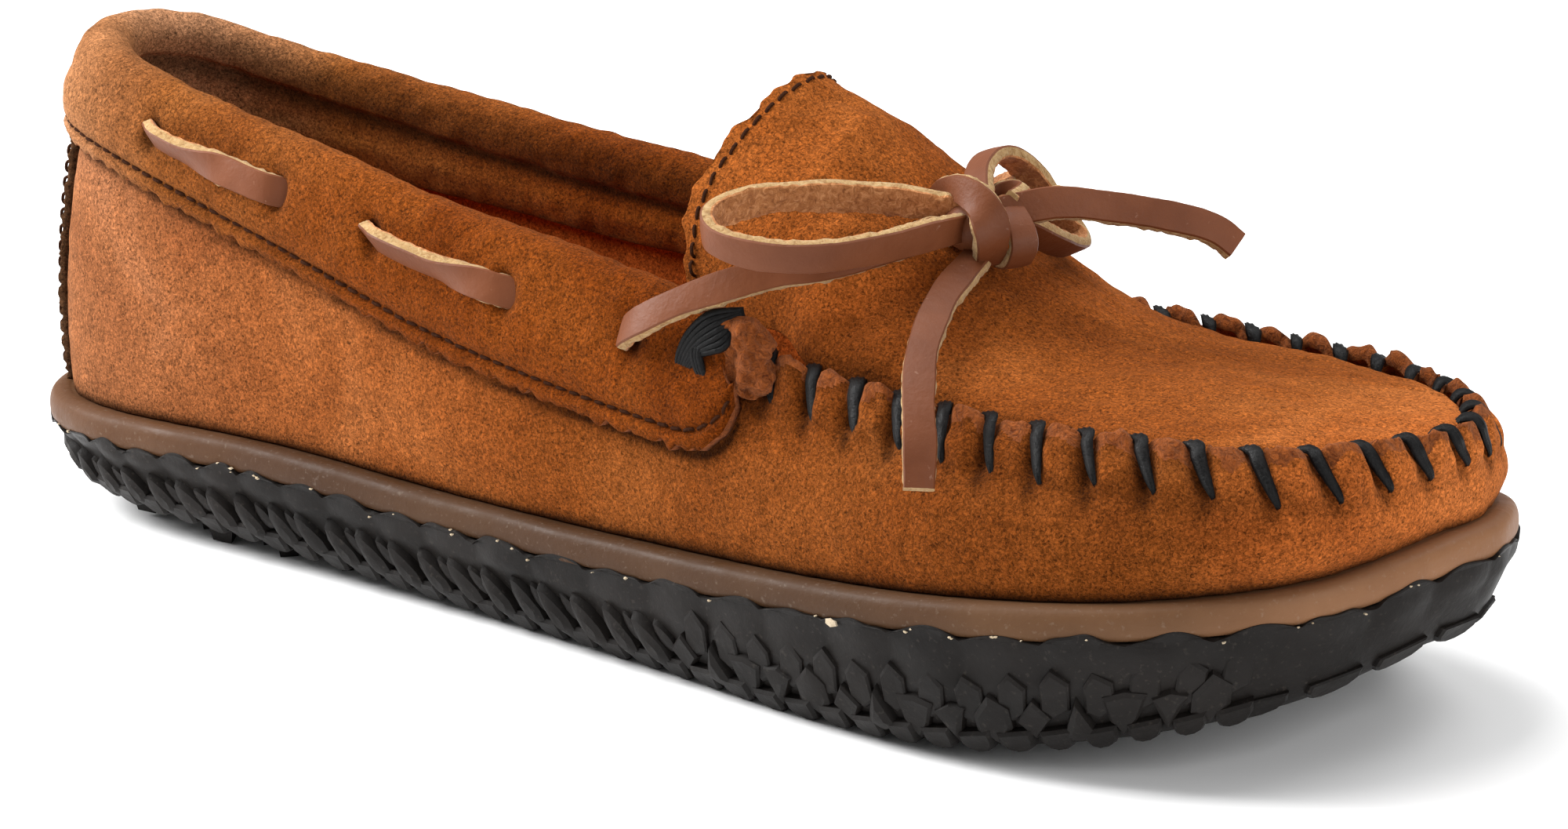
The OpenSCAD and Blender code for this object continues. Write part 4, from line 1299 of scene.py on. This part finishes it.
def make_midsole():
    """Band of smooth brown rubber with a rounded ledge all round the shoe."""
    columns = 840
    u = np.linspace(0, COUNT, columns, endpoint=False)
    # Its section: distance inside the sole's edge and below the sole's top
    keys = np.array([
        (4.0, 5.0), (0.9, 5.2), (0.15, 4.6), (-0.15, 3.6), (-0.15, 2.4), (0.05, 1.3),
        (0.5, 0.45), (1.15, 0.0), (2.0, -0.25), (3.2, -0.2), (4.4, 0.0), (9.0, 0.0)])
    rings = []
    for inset, drop in along(keys, np.linspace(0, len(keys) - 1, 40)):
        p = edge(u, inset, top_z(u) - drop)
        rings.append(p + outward(u) * (0.12 * waves(p, 14, 81))[:, None])
    add_mesh("midsole_band", np.array(rings), stack_faces(len(rings), columns), MIDSOLE,
             stands_for=("midsole",))


# Distance along the sole's edge against the count
ARC_U = np.linspace(0, COUNT, 4201)
ARC_S = distances(at(SOLE, ARC_U))
PERIMETER = ARC_S[-1]


def count_at(s):
    return np.interp(np.mod(s, PERIMETER), ARC_S, ARC_U)


MIDSOLE_HEIGHT = 5.3
# How far the outsole's side leans in, against the height above its lower edge
SIDE_RISE = [0, 1.5, 3.5, 7, 11]
SIDE_INSET = [7.0, 5.2, 3.9, 2.4, 1.2]


def side_height(u):
    return top_z(u) - MIDSOLE_HEIGHT - bottom_z(u)


def outsole_side(s, h):
    """Point of the outsole's side: s along the edge, h above its lower edge, in mm."""
    u = count_at(s)
    return edge(u, np.interp(h, SIDE_RISE, SIDE_INSET), bottom_z(u) + h)


def scallop_phase(s):
    """Whole numbers between the humps of the dark rubber's upper line, closer at the heel."""
    table = np.linspace(0, PERIMETER, 800)
    x = at(SOLE, count_at(table))[:, 0]
    pace = 1 / (9.0 + 4.5 * smooth_step(x, -110, 10))
    gone = np.concatenate([[0], np.cumsum((pace[1:] + pace[:-1]) / 2 * np.diff(table))])
    gone *= round(gone[-1]) / gone[-1]
    return np.interp(s, table, gone)


def scallop(s):
    """Height of the dark rubber's upper line along the edge."""
    hump = np.abs(np.sin(math.pi * scallop_phase(s))) ** 0.7
    return (1.55 * hump + 0.35 * np.sin(s / 3.1 + np.sin(s / 11.0))
            + 0.2 * np.sin(s / 1.3 + 2 * np.sin(s / 7.0)) - 0.4)


def side_lug(outline, peak, shrink, relief):
    """Rings of a lug on the outsole's side from an outline of (s, h) points: it narrows over
    a rounded shoulder to a top face, the outline shrunk towards the peak."""
    outline, peak = np.asarray(outline, float), np.asarray(peak, float)
    n = outward(count_at(peak[0]))
    lean = unit(n * 0.9 - UP * 0.42)
    levels = []
    for share, height in ((0.0, -1.0), (0.35, 0.7 * relief), (1.0, relief)):
        ring = peak + (outline - peak) * (1 - (1 - shrink) * share)
        way = n if height < 0 else lean
        levels.append(outsole_side(ring[:, 0], ring[:, 1]) + way * height)
    return np.array(levels)


def turned(shape, middle, angle=0.0, mirror=1):
    """Outline moved to its middle, turned by an angle in degrees, and mirrored along s."""
    a = math.radians(angle)
    return [(middle[0] + mirror * (x * math.cos(a) - y * math.sin(a)),
             middle[1] + x * math.sin(a) + y * math.cos(a)) for x, y in shape]


# Outlines of the side's lugs: distances along the edge and up from the middle
SCALE_SHAPE = [(-3.3, 2.6), (-3.4, 0.6), (-2.6, -1.2), (-1.0, -2.1), (0.9, -2.1), (2.6, -1.2),
               (3.4, 0.6), (3.3, 2.6)]
PETAL_SHAPE = [(-0.6, 6.4), (-1.9, 3.8), (-2.4, 0.4), (-2.2, -2.8), (-1.2, -4.9), (0.5, -5.5),
               (2.0, -4.4), (2.5, -1.6), (1.7, 2.2), (0.5, 5.2)]
DIAMOND_SHAPE = [(0, 3.4), (-2.7, 0.2), (0, -3.0), (2.7, 0.2)]
CONE_SHAPE = [(0, 3.6), (-1.7, 0.2), (-2.9, -2.4), (0, -3.2), (2.9, -2.4), (1.7, 0.2)]
KITE_SHAPE = [(-2.9, 2.6), (-1.9, -0.8), (0, -3.4), (1.9, -0.8), (2.9, 2.6), (0, 3.2)]
LOZENGE_SHAPE = [(0, 4.6), (-2.8, 1.8), (-3.0, -1.4), (-0.3, -4.0), (2.6, -1.2), (2.7, 2.0)]
FLUTE_SHAPE = [(-0.6, 4.4), (-1.9, 2.4), (-2.1, -2.2), (-0.4, -3.8), (1.8, -2.4), (1.9, 2.2)]
# The lugs that take turns round the ball: outline, angle and the part of it that varies,
# shrink, relief, width, height and peak
BALL_LUGS = [
    (DIAMOND_SHAPE, 0, 8, 0.8, 1.3, 1.15, 1.15, (0, 0)),
    (CONE_SHAPE, 0, 6, 0.3, 2.0, 1.25, 1.35, (0, -0.8)),
    (KITE_SHAPE, 0, 12, 0.74, 1.2, 1.35, 1.35, (0, 0)),
    (CONE_SHAPE, 180, 8, 0.4, 1.7, 1.2, 1.25, (0, 0)),
    (LOZENGE_SHAPE, 12, 12, 0.66, 1.3, 1.3, 1.2, (0, 0))]
LUG_PITCH = 7.2


def side_lugs():
    """All the lugs round the outsole's side: long slanted petals at the heel and the waist,
    diamonds, cones and upright flutes round the ball, and flat blocks under the toe."""
    rng = np.random.default_rng(95)
    made = []
    number = int(round(PERIMETER / LUG_PITCH))
    pitch = PERIMETER / number

    def lug(shape, middle, angle, shrink, relief, wide=1.0, tall=1.0, peak=(0.0, 0.0)):
        outline = turned([(x * wide, y * tall) for x, y in shape], middle, angle, mirror)
        made.append(side_lug(outline, (middle[0] + peak[0] * mirror, middle[1] + peak[1]),
                             shrink, relief))

    for i in range(number):
        c = (i + 0.5) * pitch
        u = float(count_at(c))
        fold = min(u, COUNT - u)
        mirror = 1 if u < COUNT / 2 else -1
        room = float(side_height(u))
        shift, rise, turn, grow = rng.uniform(-1, 1, 4)
        if fold > 8.6:
            # Under the toe the wall is smooth, with a few flat blocks below it
            if i % 2 == 0:
                lug(SCALE_SHAPE, (c, 1.7), 0, 0.85, 0.9, wide=1.7, tall=0.8)
            continue
        between = c + pitch / 2
        lug(SCALE_SHAPE, (between, 1.6 + 0.2 * rise), 5, 0.72, 1.7, wide=0.95 + 0.1 * grow)
        if fold < 5.2:
            tall = min(1.0, room / 15)
            lug(PETAL_SHAPE, (c + 0.4 * shift, 5.6 * tall + 0.4), 30 + 6 * turn, 0.4,
                2.1 + 0.3 * grow, wide=1.15, tall=tall, peak=(0.6, -0.9))
            if i % 3 != 1:
                lug(PETAL_SHAPE, (between - 0.6, 7.4 * tall), 34 + 6 * turn, 0.35, 1.1,
                    wide=0.7, tall=0.6 * tall, peak=(0.3, -0.6))
            continue
        shape, angle, spread, *rest = BALL_LUGS[i % len(BALL_LUGS)]
        lug(shape, (c + 0.4 * shift, 5.4 + 0.5 * rise), angle + spread * turn, *rest)
        if room > 14:
            lug(FLUTE_SHAPE, (between, 9.2 + 0.6 * rise), 8 * turn, 0.78, 0.75, wide=1.35,
                tall=1.1)
    return made


# Underside lugs: pitch of their rows and columns, depth, and outlines
ROW_PITCH, COLUMN_PITCH = 6.9, 7.4
LUG_DEPTH = 3.2
UNDER_DIAMOND = [(0, 3.1), (-3.0, 0), (0, -3.1), (3.0, 0)]
UNDER_TRIANGLE = [(-2.9, -2.2), (2.9, -2.2), (0, 3.0)]


def underside_lugs():
    """Diamond and triangle lugs under the sole, standing on the floor in its middle part."""
    made = []
    counts = np.linspace(0, COUNT, 400)
    outline = at(SOLE, counts)
    for row in range(40):
        x = -132 + ROW_PITCH * row
        for column in range(13):
            y = (column - 6) * COLUMN_PITCH + (COLUMN_PITCH / 2 if row % 2 else 0)
            near = np.linalg.norm(outline - [x, y], axis=1)
            u = counts[near.argmin()]
            n = outward(u)[:2]
            if (np.array([x, y]) - at(SOLE, u)) @ n > -9.5 - 9 * smooth_step(x, 55, 85):
                continue
            rise = max(float(bottom_z(u)) - 3.5, 0) * float(np.exp(-near.min() / 40))
            if x > 60:
                rise = max(rise, (x - 60) ** 2 * 0.0021)
            if x < -95:
                rise = max(rise, (-95 - x) ** 2 * 0.003)
            rise += 1.9 * float(smooth_step(x, 80, 112))
            shape = np.array(UNDER_DIAMOND if (row + 2 * column) % 3 else UNDER_TRIANGLE)
            made.append(np.array([np.c_[shape * size + [x, y], np.full(len(shape), z)]
                                  for size, z in ((0.72, rise), (1.0, rise + LUG_DEPTH))]))
    return made


def make_outsole():
    """Dark rubber with a wavy upper line, and its lugs."""
    columns = 1080
    s = np.linspace(0, PERIMETER, columns, endpoint=False)
    u = count_at(s)
    high = side_height(u)
    floor = np.maximum(bottom_z(u) - 3.5, 0) + 2.4
    rings = [edge(u, 15.0, floor), edge(u, 9.0, bottom_z(u) + 0.6)]
    phase = scallop_phase(s)
    for w in np.linspace(0, 1, 20):
        h = w * high
        inset = np.interp(h, SIDE_RISE, SIDE_INSET)
        inset = inset * (1 - smooth_step(w, 0.6, 1.0)) + 0.3 * smooth_step(w, 0.6, 1.0)
        # Soft upright undulation of the smooth upper part, under the humps of its edge
        swell = (0.75 * (np.abs(np.sin(math.pi * phase)) - 0.5)
                 + 0.25 * waves(edge(u, 0, h), 7, 91)) * bell(w, 0.8, 0.25)
        rings.append(edge(u, inset - swell, bottom_z(u) + h))
    wave = scallop(s)
    top = top_z(u) - MIDSOLE_HEIGHT
    for inset, rise in ((-0.35, 0.75), (-0.3, 1.0), (0.05, 1.12), (0.5, 1.0)):
        rings.append(edge(u, inset, top + wave * rise))
    rings.append(edge(u, 2.5, top))
    points = joined(*rings)
    lugs, lug_faces = bundle(side_lugs() + underside_lugs(), len(points))
    add_mesh("outsole_lugged", joined(points, lugs),
             stack_faces(len(rings), columns) + lug_faces, OUTSOLE,
             stands_for=("outsole",), sharp=28)


def make_flecks():
    """Crumbs of dried glue and mould flash along the joint of the two rubbers."""
    rng = np.random.default_rng(17)
    k = 6
    points, faces = [], []
    for i in range(60):
        total = i * (2 * k + 1)
        s = rng.uniform(0, PERIMETER)
        size = rng.uniform(0.1, 0.28) if i else 0.9
        if i == 0:
            # The first is one larger crumb on the lateral side
            s = PERIMETER * 0.33
        u = count_at(s)
        z = top_z(u) - MIDSOLE_HEIGHT + float(scallop(np.array(s))) + rng.uniform(-0.7, 0.25)
        c = edge(u, -0.35, z)
        n = outward(u)
        t = unit(np.cross(UP, n))
        a = np.linspace(0, 2 * math.pi, k, endpoint=False) + rng.uniform(0, 1)
        r = size * rng.uniform(0.5, 1.2, k)
        ring = c + t * (np.cos(a) * r * 1.6)[:, None] + UP * (np.sin(a) * r)[:, None]
        points.append(np.concatenate([ring - n * 0.3, ring + n * 0.12, [c + n * 0.3]]))
        faces += grid_faces(2, k, total, wrap_columns=True)
        faces += [[total + k + j, total + k + (j + 1) % k, total + 2 * k] for j in range(k)]
        faces.append([total + j for j in range(k - 1, -1, -1)])
    add_mesh("glue_flecks", np.concatenate(points), faces, GLUE,
             smooth=False)


def make_sock():
    """The sock liner, a thin leather sheet under the foot."""
    columns = 420
    u = np.linspace(0, COUNT, columns, endpoint=False)
    rings = [edge(u, inset, top_z(u) + rise)
             for inset, rise in ((8.6, 9.1), (8.5, 9.6), (8.9, 10.0), (12, 10.1), (20, 10.0))]
    add_mesh("sock_liner_sheet", np.array(rings), stack_faces(len(rings), columns),
             SUEDE_INSIDE, stands_for=("sock_liner",))


make_body()
make_apron()
make_tongue_details()
make_collar_stitches(*make_collar())
make_collar_lace()
make_heel_details()
make_whip_stitches()
make_throat("lateral")
make_throat("medial")
make_midsole()
make_outsole()
make_flecks()
make_sock()

for node, material in (("insole_board", FIBRE), ("footbed_foam", FOAM),
                       ("heel_counter", FIBRE), ("collar_padding", FOAM)):
    mesh_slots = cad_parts[node].data.materials
    mesh_slots.clear()
    mesh_slots.append(material)
